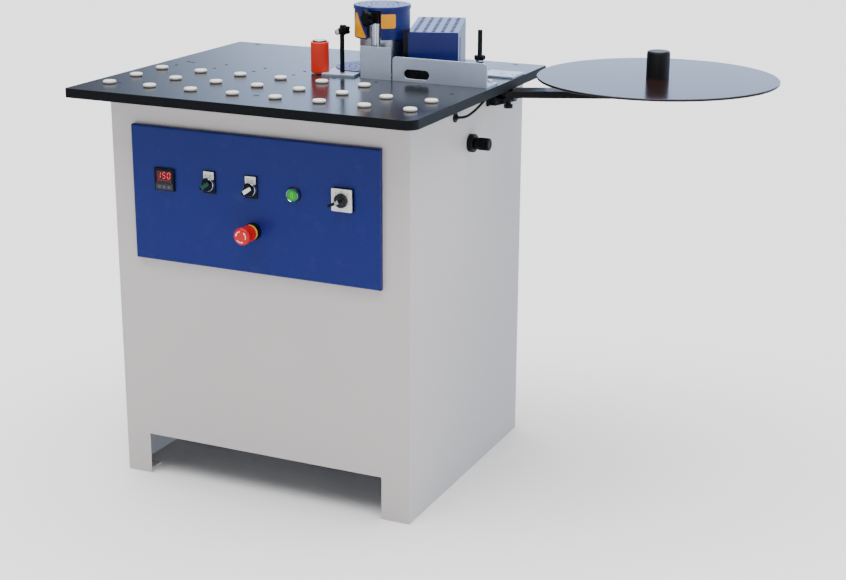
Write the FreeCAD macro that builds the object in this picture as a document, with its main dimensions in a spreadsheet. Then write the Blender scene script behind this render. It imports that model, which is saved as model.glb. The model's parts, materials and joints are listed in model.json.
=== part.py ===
"""Manual edge banding machine: sheet-metal cabinet, work table, glue pot, rollers and tape reel arm.

Millimetres. The origin is the centre of the cabinet's footprint on the floor, +X is to the
operator's right, +Y to the back and +Z up.
"""
import FreeCAD, Part
import math
import os
import re
import Sketcher

Vector = FreeCAD.Vector
Rotation = FreeCAD.Rotation
Placement = FreeCAD.Placement

doc = FreeCAD.newDocument("edge_bander")

SIZES = {
    # table and cabinet
    "table_length": 800, "table_width": 710, "table_thickness": 20, "table_height": 880,
    "table_shift": -37, "table_corner": 25, "table_sharp_corner": 4,
    "cabinet_width": 700, "cabinet_depth": 604, "sheet_gauge": 2,
    "cutout_height": 95, "left_leg": 60, "right_leg": 65,
    "foot_length": 50, "foot_gauge": 5, "anchor_span_x": 640, "anchor_span_y": 544, "anchor_radius": 5.5,
    "rail_width": 30, "rail_gauge": 8,
    # table holes, glides and screws
    "glide_radius": 13.75, "glide_height": 6.5, "stud_radius": 4, "stud_depth": 14,
    "screw_radius": 3, "screw_head": 6, "screw_sink": 3, "screw_depth": 26,
    # control panel
    "panel_left": -293, "panel_width": 583, "panel_height": 292, "panel_base": 508, "panel_proud": 12,
    "panel_gauge": 2,
    "controller_x": -213, "controller_z": 688.7, "controller_face": 48, "controller_body": 44,
    "selector_z": 690, "left_selector_x": -104, "right_selector_x": -4, "ring_radius": 14.5,
    "lever_radius": 11, "start_x": 96, "start_z": 688.5, "rotary_x": 208.5, "rotary_z": 690,
    "stop_x": -1.5, "stop_z": 600, "stop_head_radius": 18, "switch_hole": 11.2,
    # right side fittings
    "regulator_y": -1.6, "regulator_z": 759, "regulator_flange": 19.5, "regulator_grip": 13.4,
    "grommet_y": -84, "grommet_z": 828, "grommet_radius": 7.9, "cable_radius": 2.8,
    # reel arm
    "arm_turn": 23.396, "arm_length": 320.34, "arm_width": 50, "arm_gauge": 14.8, "arm_base": 840.2,
    "pivot_x": 384, "pivot_y": 128.8, "pivot_radius": 6, "running_gap": 0.05,
    "reel_x": 678, "reel_y": 256, "reel_radius": 260, "reel_top": 884, "reel_gauge": 5,
    "hub_radius": 25, "hub_height": 57, "spindle_radius": 8,
    # feed roller, glue roller and their drive
    "feed_x": -9.6, "feed_y": 2.4, "feed_radius": 20, "feed_base": 882, "feed_top": 949,
    "shaft_radius": 8, "glue_x": 125, "glue_y": 5, "glue_radius": 10, "glue_top": 997,
    "bush_length": 28, "bush_wall": 4, "motor_x": 50, "motor_y": 150, "motor_radius": 35,
    "pulley_base": 816, "pulley_height": 14, "feed_pulley": 30, "glue_pulley": 15, "motor_pulley": 15,
    "belt_gauge": 2, "belt_width": 10,
    # round guide rods and their clamps
    "rod_radius": 5, "post_x": 43, "post_y": 6.5, "post_top": 988, "pin_z": 975, "pin_radius": 6,
    "pin_front": 23, "pin_back": 8.3,
    "guide_x": 344, "guide_y": 60, "guide_top": 990, "collar_radius": 8, "guide_knob_z": 926,
    "small_knob": 11.5, "knob_gauge": 10,
    # plates on the table
    "base_plate_x": 8, "base_plate_y": -25, "base_plate_length": 75, "base_plate_width": 86,
    "base_plate_turn": 7.5, "plate_gauge": 5,
    "guard_left": 98, "guard_width": 73, "guard_height": 70, "guard_front": -16, "guard_gauge": 2,
    "fence_left": 174, "fence_length": 218, "fence_height": 52, "fence_front": -15, "fence_gauge": 3,
    "slot_left": 201, "slot_length": 59, "slot_height": 20, "slot_base": 887,
    "rest_plate_x": 318, "rest_plate_y": 120, "rest_plate_length": 78, "rest_plate_width": 70,
    # glue pot
    "pot_x": 114, "pot_y": 60, "pot_radius": 49, "pot_wall": 4, "pot_top": 1005,
    "cover_radius": 60.5, "cover_gauge": 1.5, "cover_base": 961, "cover_top": 1023, "notch_top": 999,
    "lid_radius": 62.5, "lid_top": 1031, "dosing_knob_z": 1009, "dosing_knob_radius": 18.5,
    # ventilated motor cover and table grille
    "box_x": 191.5, "box_y": 25, "box_turn": 19.3, "box_width": 108, "box_depth": 238, "box_height": 100,
    "box_gauge": 1.5, "vent_x": 63.4, "vent_y": 95, "vent_radius": 73, "vent_height": 7,
    "duct_x": 48, "duct_y": 118, "duct_radius": 34,
}

sheet = doc.addObject("Spreadsheet::Sheet", "sizes")
for row, (word, number) in enumerate(SIZES.items(), start=1):
    sheet.set(f"A{row}", word)
    sheet.set(f"B{row}", str(number))
    sheet.setAlias(f"B{row}", word)
doc.recompute()

WORDS = re.compile(r"\b(" + "|".join(SIZES) + r")\b")
ORIGIN_POINT = (-1, 1)
UPRIGHT = Rotation()
OUT_FRONT = Rotation(Vector(1, 0, 0), 90)      # local z points to -Y, local y points up
OUT_RIGHT = Rotation(Vector(0, 1, 0), 90)      # local z points to +X, local x points down
OUT_BACK = Rotation(Vector(1, 0, 0), -90)      # local z points to +Y, local y points down

sub_parts = []


def size(word):
    """A driving dimension, read back from the sheet."""
    return float(sheet.get(word))


def bind(item, name, formula):
    """Tie one property to a formula written in the sheet's words."""
    item.setExpression(name, WORDS.sub(r"sizes.\g<0>", str(formula)))


def place(item, spot, turn=UPRIGHT):
    """Turn an object and bind its position to three formulas."""
    item.Placement = Placement(Vector(), turn)
    for axis, formula in zip("xyz", spot):
        bind(item, f"Placement.Base.{axis}", formula)
    return item


def keep(item, label):
    """Name an object and list it as a finished sub-part."""
    item.Label = label
    sub_parts.append(item)
    return item


def block(spot, lengths, turn=UPRIGHT):
    """A box from its low corner."""
    box = doc.addObject("Part::Box", "block")
    for name, formula in zip(("Length", "Width", "Height"), lengths):
        bind(box, name, formula)
    return place(box, spot, turn)


def rod(spot, radius, height, turn=UPRIGHT):
    """A cylinder from the centre of its base."""
    cylinder = doc.addObject("Part::Cylinder", "rod")
    bind(cylinder, "Radius", radius)
    bind(cylinder, "Height", height)
    return place(cylinder, spot, turn)


def fuse(*pieces):
    """One solid from several."""
    union = doc.addObject("Part::MultiFuse", "union")
    union.Shapes = list(pieces)
    union.Refine = True
    return union


def group(*pieces):
    """Separate solids that share one node."""
    bundle = doc.addObject("Part::Compound", "bundle")
    bundle.Links = list(pieces)
    return bundle


def cut(base, *tools):
    """A solid with others removed from it."""
    difference = doc.addObject("Part::Cut", "difference")
    difference.Base = base
    difference.Tool = tools[0] if len(tools) == 1 else group(*tools)
    return difference


def stepped(spot, steps, turn=UPRIGHT):
    """Coaxial cylinders, each (start, radius, height) along the local axis, as one solid."""
    x, y, z = spot
    out = turn.multVec(Vector(0, 0, 1))
    pieces = []
    for start, radius, height in steps:
        shift = [f"({formula}) + {along:.0f} * ({start})" for formula, along in zip((x, y, z), out)]
        pieces.append(rod(shift, radius, height, turn))
    return fuse(*pieces) if len(pieces) > 1 else pieces[0]


def new_body(label):
    """An empty PartDesign body that is a sub-part."""
    return keep(doc.addObject("PartDesign::Body", label), label)


def new_sketch(body, role="XY_Plane", offset="0"):
    """A sketch on one of the body's own origin planes, moved along the plane's normal."""
    sketch = body.newObject("Sketcher::SketchObject", "sketch")
    plane = next(item for item in body.Origin.OriginFeatures if item.Role == role)
    sketch.AttachmentSupport = (plane, [""])
    sketch.MapMode = "FlatFace"
    bind(sketch, "AttachmentOffset.Base.z", offset)
    return sketch


def constrain(sketch, kind, references, formula):
    """Add a dimension and bind it."""
    index = sketch.addConstraint(Sketcher.Constraint(kind, *references, 1.0))
    sketch.setExpression(f"Constraints[{index}]", WORDS.sub(r"sizes.\g<0>", str(formula)))


def outline(sketch, corners):
    """A closed outline of straight lines through corners, each a pair of formulas."""
    first = sketch.GeometryCount
    count = len(corners)
    ring = []
    for index in range(count):
        angle = 2 * math.pi * index / count
        ring.append(Vector(10 * math.cos(angle), 10 * math.sin(angle), 0))
    for index in range(count):
        sketch.addGeometry(Part.LineSegment(ring[index], ring[(index + 1) % count]), False)
    for index in range(count):
        following = first + (index + 1) % count
        sketch.addConstraint(Sketcher.Constraint("Coincident", first + index, 2, following, 1))
    for index, (across, up) in enumerate(corners):
        constrain(sketch, "DistanceX", (*ORIGIN_POINT, first + index, 1), across)
        constrain(sketch, "DistanceY", (*ORIGIN_POINT, first + index, 1), up)


def rectangle(sketch, left, low, width, height):
    """An upright rectangle from its low left corner."""
    right = f"({left}) + ({width})"
    high = f"({low}) + ({height})"
    outline(sketch, [(left, low), (right, low), (right, high), (left, high)])


def circle(sketch, across, up, radius):
    """A circle with its centre and radius bound."""
    index = sketch.addGeometry(Part.Circle(Vector(1, 1, 0), Vector(0, 0, 1), 1), False)
    constrain(sketch, "DistanceX", (*ORIGIN_POINT, index, 3), across)
    constrain(sketch, "DistanceY", (*ORIGIN_POINT, index, 3), up)
    constrain(sketch, "Radius", (index,), radius)


def pad(body, sketch, length, reversed_side=False):
    """Extrude a sketch along its normal."""
    feature = body.newObject("PartDesign::Pad", "pad")
    feature.Profile = sketch
    feature.Reversed = reversed_side
    bind(feature, "Length", length)
    doc.recompute()
    return feature


def pocket(body, sketch, depth, reversed_side=False):
    """Cut a sketch into the body and make sure that it removes material."""
    before = body.Shape.Volume
    feature = body.newObject("PartDesign::Pocket", "pocket")
    feature.Profile = sketch
    feature.Reversed = reversed_side
    bind(feature, "Length", depth)
    doc.recompute()
    if body.Shape.Volume > before - 0.01:
        raise RuntimeError(f"{body.Label}: a pocket removes nothing")
    return feature


def polar(body, feature, count):
    """Repeat a feature around the body's own Z axis."""
    pattern = body.newObject("PartDesign::PolarPattern", "around")
    pattern.Originals = [feature]
    axis = next(item for item in body.Origin.OriginFeatures if item.Role == "Z_Axis")
    pattern.Axis = (axis, [""])
    pattern.Angle = 360
    pattern.Occurrences = count
    body.Tip = pattern
    doc.recompute()
    return pattern


def linear(body, feature, role, length, count):
    """Repeat a feature along one of the body's own axes."""
    pattern = body.newObject("PartDesign::LinearPattern", "along")
    pattern.Originals = [feature] if not isinstance(feature, list) else feature
    axis = next(item for item in body.Origin.OriginFeatures if item.Role == role)
    pattern.Direction = (axis, [""])
    pattern.Occurrences = count
    bind(pattern, "Length", length)
    body.Tip = pattern
    doc.recompute()
    return pattern


def round_edges(body, radius, chosen):
    """Fillet the edges for which chosen(edge) is true."""
    base = body.Tip
    names = []
    for index, edge in enumerate(base.Shape.Edges, start=1):
        if chosen(edge):
            names.append(f"Edge{index}")
    feature = body.newObject("PartDesign::Fillet", "fillet")
    feature.Base = (base, names)
    bind(feature, "Radius", radius)
    doc.recompute()
    return feature


def revolved(label, profile, spot, turn=UPRIGHT):
    """A body turned about its own Z axis from a closed outline of (radius, height) formulas."""
    body = new_body(label)
    sketch = new_sketch(body, "XZ_Plane")
    outline(sketch, profile)
    feature = body.newObject("PartDesign::Revolution", "revolution")
    feature.Profile = sketch
    axis = next(item for item in body.Origin.OriginFeatures if item.Role == "Z_Axis")
    feature.ReferenceAxis = (axis, [""])
    feature.Angle = 360
    doc.recompute()
    place(body, spot, turn)
    return body


def star_knob(label, radius, gauge, boss_radius, bore, bore_depth, spot, turn=UPRIGHT):
    """A five-lobed clamping knob with a round boss under it, bored from the boss's end."""
    lobes = 5
    boss_height = 3
    body = new_body(label)
    disc = new_sketch(body)
    circle(disc, "0.001", "0.001", radius)
    pad(body, disc, gauge)
    scallop = new_sketch(body, offset=gauge)
    circle(scallop, f"1.14 * ({radius})", "0.001", f"0.40 * ({radius})")
    notch = pocket(body, scallop, gauge)
    polar(body, notch, lobes)
    boss = new_sketch(body)
    circle(boss, "0.001", "0.001", boss_radius)
    pad(body, boss, boss_height, reversed_side=True)
    hole = new_sketch(body, offset=-boss_height)
    circle(hole, "0.001", "0.001", bore)
    pocket(body, hole, bore_depth, reversed_side=True)
    place(body, spot, turn)
    return body


# ---------------------------------------------------------------- cabinet

HALF_WIDTH = "cabinet_width / 2"
HALF_DEPTH = "cabinet_depth / 2"
CABINET_TOP = "(table_height - table_thickness)"
INNER = f"({HALF_WIDTH} - sheet_gauge)"

cabinet = new_body("cabinet_shell")
wrap = new_sketch(cabinet)
outline(wrap, [
    (f"-{HALF_WIDTH}", HALF_DEPTH), (f"-{HALF_WIDTH}", f"-{HALF_DEPTH}"),
    (HALF_WIDTH, f"-{HALF_DEPTH}"), (HALF_WIDTH, HALF_DEPTH),
    (INNER, HALF_DEPTH), (INNER, f"sheet_gauge - {HALF_DEPTH}"),
    (f"-{INNER}", f"sheet_gauge - {HALF_DEPTH}"), (f"-{INNER}", HALF_DEPTH),
])
pad(cabinet, wrap, CABINET_TOP)
cutout = new_sketch(cabinet, "XZ_Plane", HALF_DEPTH)
rectangle(cutout, f"left_leg - {HALF_WIDTH}", "-1",
          "cabinet_width - left_leg - right_leg", "cutout_height + 1")
pocket(cabinet, cutout, "sheet_gauge + 1")
front_holes = new_sketch(cabinet, "XZ_Plane", HALF_DEPTH)
rectangle(front_holes, "controller_x - controller_body / 2 - 1", "controller_z - controller_body / 2 - 1",
          "controller_body + 2", "controller_body + 2")
for across, up in (("left_selector_x", "selector_z"), ("right_selector_x", "selector_z"),
                   ("start_x", "start_z"), ("rotary_x", "rotary_z"), ("stop_x", "stop_z")):
    circle(front_holes, across, up, "switch_hole + 4")
pocket(cabinet, front_holes, "sheet_gauge + 1")
side_holes = new_sketch(cabinet, "YZ_Plane", HALF_WIDTH)
circle(side_holes, "regulator_y", "regulator_z", "12")
circle(side_holes, "grommet_y", "grommet_z", "grommet_radius")
pocket(cabinet, side_holes, "sheet_gauge + 1")

back = new_body("back_panel")
plate = new_sketch(back, "XZ_Plane", "0")
rectangle(plate, f"-{INNER}", "cutout_height", f"2 * {INNER}", f"{CABINET_TOP} - cutout_height")
pad(back, plate, "sheet_gauge")
inlet = new_sketch(back, "XZ_Plane", "sheet_gauge")
circle(inlet, "250", "160", "grommet_radius")
pocket(back, inlet, "sheet_gauge + 1")
louvre = new_sketch(back, "XZ_Plane", "sheet_gauge")
rectangle(louvre, "-110", "620", "220", "6")
linear(back, pocket(back, louvre, "sheet_gauge + 1"), "Z_Axis", "126", 8)
place(back, ("0", HALF_DEPTH, "0"))

feet = []
anchors = []
for side_x in (-1, 1):
    for side_y in (-1, 1):
        low_x = f"{side_x} * ({INNER} - foot_length / 2) - foot_length / 2"
        low_y = f"{side_y} * ({HALF_DEPTH} - sheet_gauge - foot_length / 2) - foot_length / 2"
        feet.append(block((low_x, low_y, "0"), ("foot_length", "foot_length", "foot_gauge")))
        spot = (f"{side_x} * anchor_span_x / 2", f"{side_y} * anchor_span_y / 2", "-1")
        anchors.append(rod(spot, "anchor_radius", "foot_gauge + 2"))
keep(cut(group(*feet), *anchors), "foot_plates")

RAIL_BASE = f"{CABINET_TOP} - rail_gauge"
RAIL_END = f"({HALF_DEPTH} - sheet_gauge)"
rails = []
for side in (-1, 1):
    low_x = f"{side} * ({INNER} - rail_width / 2) - rail_width / 2"
    rails.append(block((low_x, f"-{RAIL_END}", RAIL_BASE), ("rail_width", f"2 * {RAIL_END}", "rail_gauge")))
    low_y = f"{side} * ({RAIL_END} - rail_width / 2) - rail_width / 2"
    rails.append(block((f"rail_width - {INNER}", low_y, RAIL_BASE),
                       (f"2 * {INNER} - 2 * rail_width", "rail_width", "rail_gauge")))
keep(group(*rails), "top_frame")

# ---------------------------------------------------------------- table, glides and screws

FRONT_ROW, MIDDLE_ROW, REAR_ROW = -302, -202, -102
SPARE_ROW, SECOND_SPARE_ROW = -45, 5
glide_spots = []
for column in range(8):
    across = -350 + 100 * column
    glide_spots += [(across, FRONT_ROW), (across, MIDDLE_ROW)]
    if column < 6:
        glide_spots.append((across, REAR_ROW))
spare_spots = [(250, REAR_ROW), (350, REAR_ROW)]
for column in range(7):
    spare_spots.append((-350 + 100 * column, SPARE_ROW))
for column in range(4):
    spare_spots.append((-350 + 100 * column, SECOND_SPARE_ROW))
screw_spots = [
    (-335, -292), (0, -292), (335, -292), (-335, 0), (335, 0), (-335, 293), (0, 293), (335, 293),
]

table = new_body("table_top")
slab = new_sketch(table)
rectangle(slab, "-table_length / 2", "table_shift - table_width / 2", "table_length", "table_width")
pad(table, slab, "table_thickness")


def table_corner(edge, wide):
    """True for the upright edge at the front right, which is rounded wide, or for the other three."""
    upright = abs(edge.BoundBox.ZLength - size("table_thickness")) < 0.01
    front_right = edge.BoundBox.XMin > 0 and edge.BoundBox.YMin < 0
    return upright and edge.BoundBox.XLength < 0.01 and front_right == wide


round_edges(table, "table_corner", lambda edge: table_corner(edge, True))
round_edges(table, "table_sharp_corner", lambda edge: table_corner(edge, False))
drilled = new_sketch(table, offset="table_thickness")
for across, along in glide_spots + spare_spots:
    circle(drilled, across, along, "stud_radius")
for across, along in screw_spots:
    circle(drilled, across, along, "screw_radius")
circle(drilled, "feed_x", "feed_y", "shaft_radius + bush_wall")
circle(drilled, "glue_x", "glue_y", "glue_radius + bush_wall")
circle(drilled, "duct_x", "duct_y", "duct_radius")
circle(drilled, "guide_x", "guide_y", "rod_radius")
pocket(table, drilled, "table_thickness + 1")
sunk = new_sketch(table, offset="table_thickness")
for across, along in screw_spots:
    circle(sunk, across, along, "screw_head")
pocket(table, sunk, "screw_sink")
lead_hole = new_sketch(table)
circle(lead_hole, "368", "46", "cable_radius")
pocket(table, lead_hole, "12", reversed_side=True)
place(table, ("0", "0", CABINET_TOP))


def fastener(across, along, top, head, head_height, shank, depth):
    """A round head that ends at top, with its shank below."""
    head_piece = rod((across, along, f"({top}) - ({head_height})"), head, head_height)
    shank_piece = rod((across, along, f"({top}) - ({depth})"), shank, f"({depth}) - ({head_height})")
    return fuse(head_piece, shank_piece)


screws = []
for across, along in screw_spots:
    screws.append(fastener(across, along, "table_height", "screw_head", "screw_sink",
                           "screw_radius", "screw_depth"))
keep(group(*screws), "table_screws")

glides = []
for across, along in glide_spots:
    glides.append(fastener(across, along, "table_height + glide_height", "glide_radius", "glide_height",
                           "stud_radius", "glide_height + stud_depth"))
keep(group(*glides), "glides")

# ---------------------------------------------------------------- control panel

PANEL_FACE = f"(-{HALF_DEPTH} - panel_proud)"
panel = new_body("control_panel")
tray = new_sketch(panel)
rectangle(tray, "panel_left", "0", "panel_width", "panel_height")
pad(panel, tray, "panel_proud")
hollow = new_sketch(panel)
rectangle(hollow, "panel_left + panel_gauge", "panel_gauge",
          "panel_width - 2 * panel_gauge", "panel_height - 2 * panel_gauge")
pocket(panel, hollow, "panel_proud - panel_gauge", reversed_side=True)
devices = new_sketch(panel, offset="panel_proud")
rectangle(devices, "controller_x - controller_body / 2", "controller_z - controller_body / 2 - panel_base",
          "controller_body", "controller_body")
for across, up in (("left_selector_x", "selector_z"), ("right_selector_x", "selector_z"),
                   ("start_x", "start_z"), ("rotary_x", "rotary_z"), ("stop_x", "stop_z")):
    circle(devices, across, f"{up} - panel_base", "switch_hole")
pocket(panel, devices, "panel_gauge + 1")
round_edges(panel, "4", lambda edge: abs(edge.BoundBox.YLength) < 0.01 and edge.BoundBox.ZLength < 0.01
            and abs(edge.BoundBox.ZMax - size("panel_proud")) < 0.01 and edge.Length > 500)
place(panel, ("0", f"-{HALF_DEPTH}", "panel_base"), OUT_FRONT)

KEY_COUNT = 3
KEY_PITCH = 12
controller = new_body("temperature_controller")
face = new_sketch(controller)
rectangle(face, "-controller_face / 2", "-controller_face / 2", "controller_face", "controller_face")
pad(controller, face, "5")
case = new_sketch(controller)
rectangle(case, "-controller_body / 2", "-controller_body / 2", "controller_body", "controller_body")
pad(controller, case, "80", reversed_side=True)
windows = new_sketch(controller, offset="5")
for number in range(KEY_COUNT):
    middle = KEY_PITCH * (number - (KEY_COUNT - 1) / 2)
    rectangle(windows, middle - 4.1, "-18.1", "8.2", "5.2")
pocket(controller, windows, "2")
glass = new_sketch(controller, offset="5")
rectangle(glass, "-19", "-10", "38", "29")
pocket(controller, glass, "0.8")
place(controller, ("controller_x", PANEL_FACE, "controller_z"), OUT_FRONT)

for number in range(KEY_COUNT):
    middle = KEY_PITCH * (number - (KEY_COUNT - 1) / 2)
    key = new_body(f"controller_key_{number + 1}")
    key_face = new_sketch(key)
    rectangle(key_face, "-4", "-2.5", "8", "5")
    pad(key, key_face, "2")
    place(key, (f"controller_x + {middle}", f"{PANEL_FACE} - 3.8", "controller_z - 15.5"), OUT_FRONT)


def selector_base(across):
    """Legend plate with a raised ring and a round body behind the panel."""
    spot = (across, PANEL_FACE, "selector_z")
    legend = block((f"{across} - 15", f"{PANEL_FACE} - 3", "selector_z - 20"), (30, 3, 48))
    ring = stepped(spot, [("3", "ring_radius", "7"), ("-14", "lever_radius", "14")], OUT_FRONT)
    well = stepped(spot, [("-9", "lever_radius - 2", "20")], OUT_FRONT)
    return cut(fuse(legend, ring), well)


keep(group(selector_base("left_selector_x"), selector_base("right_selector_x")), "selector_bases")

for label, across in (("selector_lever_left", "left_selector_x"),
                      ("selector_lever_right", "right_selector_x")):
    lever = new_body(label)
    hub = new_sketch(lever)
    circle(hub, "0.001", "0.001", "lever_radius - 2 - running_gap")
    pad(lever, hub, "14")
    crown = new_sketch(lever, offset="14.2")
    circle(crown, "0.001", "0.001", "ring_radius - 1")
    pad(lever, crown, "1.5")
    neck = new_sketch(lever, offset="14")
    circle(neck, "0.001", "0.001", "lever_radius - 3")
    pad(lever, neck, "0.2")
    grip = new_sketch(lever, offset="15.7")
    rectangle(grip, "-4.5", "-ring_radius - 3", "9", "ring_radius + 12")
    pad(lever, grip, "4.5")
    turn = OUT_FRONT.multiply(Rotation(Vector(0, 0, 1), -57))
    place(lever, (across, f"{PANEL_FACE} + 4", "selector_z"), turn)

spot = ("start_x", PANEL_FACE, "start_z")
bezel = stepped(spot, [("0", "15", "6"), ("-14", "switch_hole", "14")], OUT_FRONT)
keep(cut(bezel, stepped(spot, [("-9", "10.5", "16")], OUT_FRONT)), "start_button_bezel")
keep(stepped(spot, [("-4", "10.4", "13")], OUT_FRONT), "start_button_cap")

spot = ("rotary_x", PANEL_FACE, "rotary_z")
plate = block(("rotary_x - 23.5", f"{PANEL_FACE} - 9", "rotary_z - 24"), (47, 9, 48))
barrel = stepped(spot, [("-40", "switch_hole", "41")], OUT_FRONT)
keep(cut(fuse(plate, barrel), stepped(spot, [("-6", "4", "20")], OUT_FRONT)), "rotary_switch_base")
rotary = new_body("rotary_switch_knob")
stem = new_sketch(rotary)
circle(stem, "0.001", "0.001", "4 - running_gap")
pad(rotary, stem, "14.3")
dome = new_sketch(rotary, offset="14.3")
circle(dome, "0.001", "0.001", "15")
pad(rotary, dome, "9")
pointer = new_sketch(rotary, offset="23.3")
rectangle(pointer, "-3.5", "-12", "7", "38")
pad(rotary, pointer, "8")
ROTARY_TURN = OUT_FRONT.multiply(Rotation(Vector(0, 0, 1), 116))
place(rotary, ("rotary_x", f"{PANEL_FACE} + 5", "rotary_z"), ROTARY_TURN)

spot = ("stop_x", PANEL_FACE, "stop_z")
shell = stepped(spot, [("0", "16", "14"), ("14", "15", "9"), ("-14", "switch_hole", "14")], OUT_FRONT)
keep(cut(shell, stepped(spot, [("-15", "10.3", "40")], OUT_FRONT)), "stop_button_base")
keep(stepped(spot, [("-6", "5", "42")], OUT_FRONT), "stop_button_stem")
mushroom = stepped(spot, [("18", "10", "20.2"), ("38", "stop_head_radius", "14")], OUT_FRONT)
keep(cut(mushroom, stepped(spot, [("17", "5 + running_gap", "20")], OUT_FRONT)), "stop_button_head")

BEHIND_FRONT = f"(sheet_gauge + 0.5 - {HALF_DEPTH})"
gear = []
for across, up, width in (
        ("left_selector_x", "selector_z", 30), ("right_selector_x", "selector_z", 30),
        ("start_x", "start_z", 30), ("rotary_x", "rotary_z", 44), ("stop_x", "stop_z", 30)):
    depth_start = f"{BEHIND_FRONT} + 32" if width > 30 else f"{BEHIND_FRONT} + 10"
    gear.append(block((f"{across} - {width / 2}", depth_start, f"{up} - {width / 2}"), (width, 40, width)))
gear.append(block((f"-{INNER}", "-120", "420"), (3, 260, 220)))
for number in range(3):
    gear.append(block((f"3 - {INNER}", f"-95 + {75 * number}", "490"), (62, 45, 85)))
keep(group(*gear), "switchgear")

# ---------------------------------------------------------------- right side fittings

spot = (HALF_WIDTH, "regulator_y", "regulator_z")
valve = stepped(spot, [("-20", "12", "20"), ("0", "regulator_flange", "12"), ("11", "4", "24")], OUT_RIGHT)
manifold = block((f"{HALF_WIDTH} - 60", "regulator_y - 20", "regulator_z - 24"), (40, 40, 48))
keep(fuse(valve, manifold), "regulator_body")
cap = stepped(spot, [("12.2", "regulator_grip", "33.8")], OUT_RIGHT)
keep(cut(cap, stepped(spot, [("12", "4 + running_gap", "23.4")], OUT_RIGHT)), "regulator_knob")


def grommet(spot, turn):
    """Rubber bush with a flange on the outside and one on the inside of the sheet."""
    ring = stepped(spot, [
        ("0", "grommet_radius + 2.5", "3"), ("-sheet_gauge", "grommet_radius", "sheet_gauge"),
        ("-sheet_gauge - 2", "grommet_radius + 2", "2"),
    ], turn)
    return cut(ring, stepped(spot, [("-sheet_gauge - 3", "cable_radius", "10")], turn))


side_bush = grommet((HALF_WIDTH, "grommet_y", "grommet_z"), OUT_RIGHT)
rear_bush = grommet(("250", HALF_DEPTH, "160"), OUT_BACK)
keep(group(side_bush, rear_bush), "cable_grommets")

CABLE_ROUTE = [
    (330, -84, 828), (361, -84, 828), (369.5, -66, 828.5), (371, -40, 832),
    (371, -12, 837.5), (370, 16, 843.5), (368, 46, 848.5), (368, 46, 871),
]


def cord_path(points):
    """Straight runs joined by tangent arcs, with the radius of each arc."""
    points = [Vector(*point) for point in points]
    edges = []
    radii = []
    start = points[0]
    for before, corner, after in zip(points, points[1:], points[2:]):
        incoming = corner - before
        outgoing = after - corner
        shorter = min(incoming.Length, outgoing.Length)
        turn = incoming.getAngle(outgoing)
        reach = 0.45 * shorter
        radius = reach / math.tan(turn / 2)
        incoming.normalize()
        outgoing.normalize()
        enter = corner - incoming * reach
        leave = corner + outgoing * reach
        inward = outgoing - incoming
        inward.normalize()
        centre = corner + inward * (radius / math.cos(turn / 2))
        middle = centre - inward * radius
        edges.append(Part.LineSegment(start, enter).toShape())
        edges.append(Part.Arc(enter, middle, leave).toShape())
        radii.append(radius)
        start = leave
    edges.append(Part.LineSegment(start, points[-1]).toShape())
    return Part.Wire(edges), radii


def cord_tube(label, points, radius):
    """A round tube along a cord path, checked against its section times its length."""
    path, radii = cord_path(points)
    along = points[1][0] - points[0][0], points[1][1] - points[0][1], points[1][2] - points[0][2]
    section = Part.Wire([Part.makeCircle(radius, Vector(*points[0]), Vector(*along))])
    tube = path.makePipeShell([section], True, False)
    expected = math.pi * radius ** 2 * path.Length
    print(label, "length", round(path.Length, 1), "radii", [round(value, 1) for value in radii],
          "volume ratio", round(tube.Volume / expected, 4))
    feature = doc.addObject("Part::Feature", label)
    feature.Shape = tube
    return keep(feature, label)


cord_tube("heater_cable", CABLE_ROUTE, size("cable_radius"))

# ---------------------------------------------------------------- reel arm

bracket = new_body("arm_bracket")
flange = new_sketch(bracket)
rectangle(flange, "0", "-44", "5", "100")
pad(bracket, flange, "36")
shelf = new_sketch(bracket, offset="12")
outline(shelf, [("0", "-30"), ("36", "-30"), ("52", "-14"), ("52", "24"), ("40", "34"), ("0", "34")])
pad(bracket, shelf, "6")
gusset = new_sketch(bracket)
outline(gusset, [("0", "-30"), ("16", "-30"), ("36", "44"), ("0", "44")])
pad(bracket, gusset, "12.5")
pivot_bore = new_sketch(bracket)
circle(pivot_bore, f"pivot_x - {HALF_WIDTH}", "0.001", "pivot_radius")
pocket(bracket, pivot_bore, "40", reversed_side=True)
place(bracket, (HALF_WIDTH, "pivot_y", "arm_base - 18.2"))

bolt_spot = ("pivot_x", "pivot_y", "arm_base")
keep(stepped(bolt_spot, [
    ("-26", "10", "7.8"), ("-18.2", "pivot_radius", "18.2 + arm_gauge + 0.3"),
    ("arm_gauge + 0.3", "10", "3.8"),
]), "arm_pivot_bolt")

arm = new_body("reel_arm")
bar = new_sketch(arm)
rectangle(bar, "0", "-arm_width / 2", "arm_length", "arm_width")
pad(arm, bar, "arm_gauge")
for end in ("0.001", "arm_length"):
    nose = new_sketch(arm)
    circle(nose, end, "0.001", "arm_width / 2")
    pad(arm, nose, "arm_gauge")
arm_holes = new_sketch(arm, offset="arm_gauge")
circle(arm_holes, "0.001", "0.001", "pivot_radius + running_gap")
circle(arm_holes, "arm_length", "0.001", "spindle_radius")
pocket(arm, arm_holes, "arm_gauge + 1")
ARM_TURN = Rotation(Vector(0, 0, 1), size("arm_turn"))
place(arm, ("pivot_x", "pivot_y", "arm_base"), ARM_TURN)

REEL_BASE = "(reel_top - reel_gauge)"
ARM_TOP = "(arm_base + arm_gauge)"
reel_spot = ("reel_x", "reel_y", "0")
keep(stepped(reel_spot, [
    ("arm_base - 4", "14", "4"), ("arm_base", "spindle_radius", "arm_gauge"), (ARM_TOP, "24", "4"),
    (f"{ARM_TOP} + 4", "16", f"{REEL_BASE} - {ARM_TOP} - 4.3"),
    (f"{REEL_BASE} - 0.3", "spindle_radius", "reel_gauge + hub_height - 12"),
]), "reel_spindle")

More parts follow.
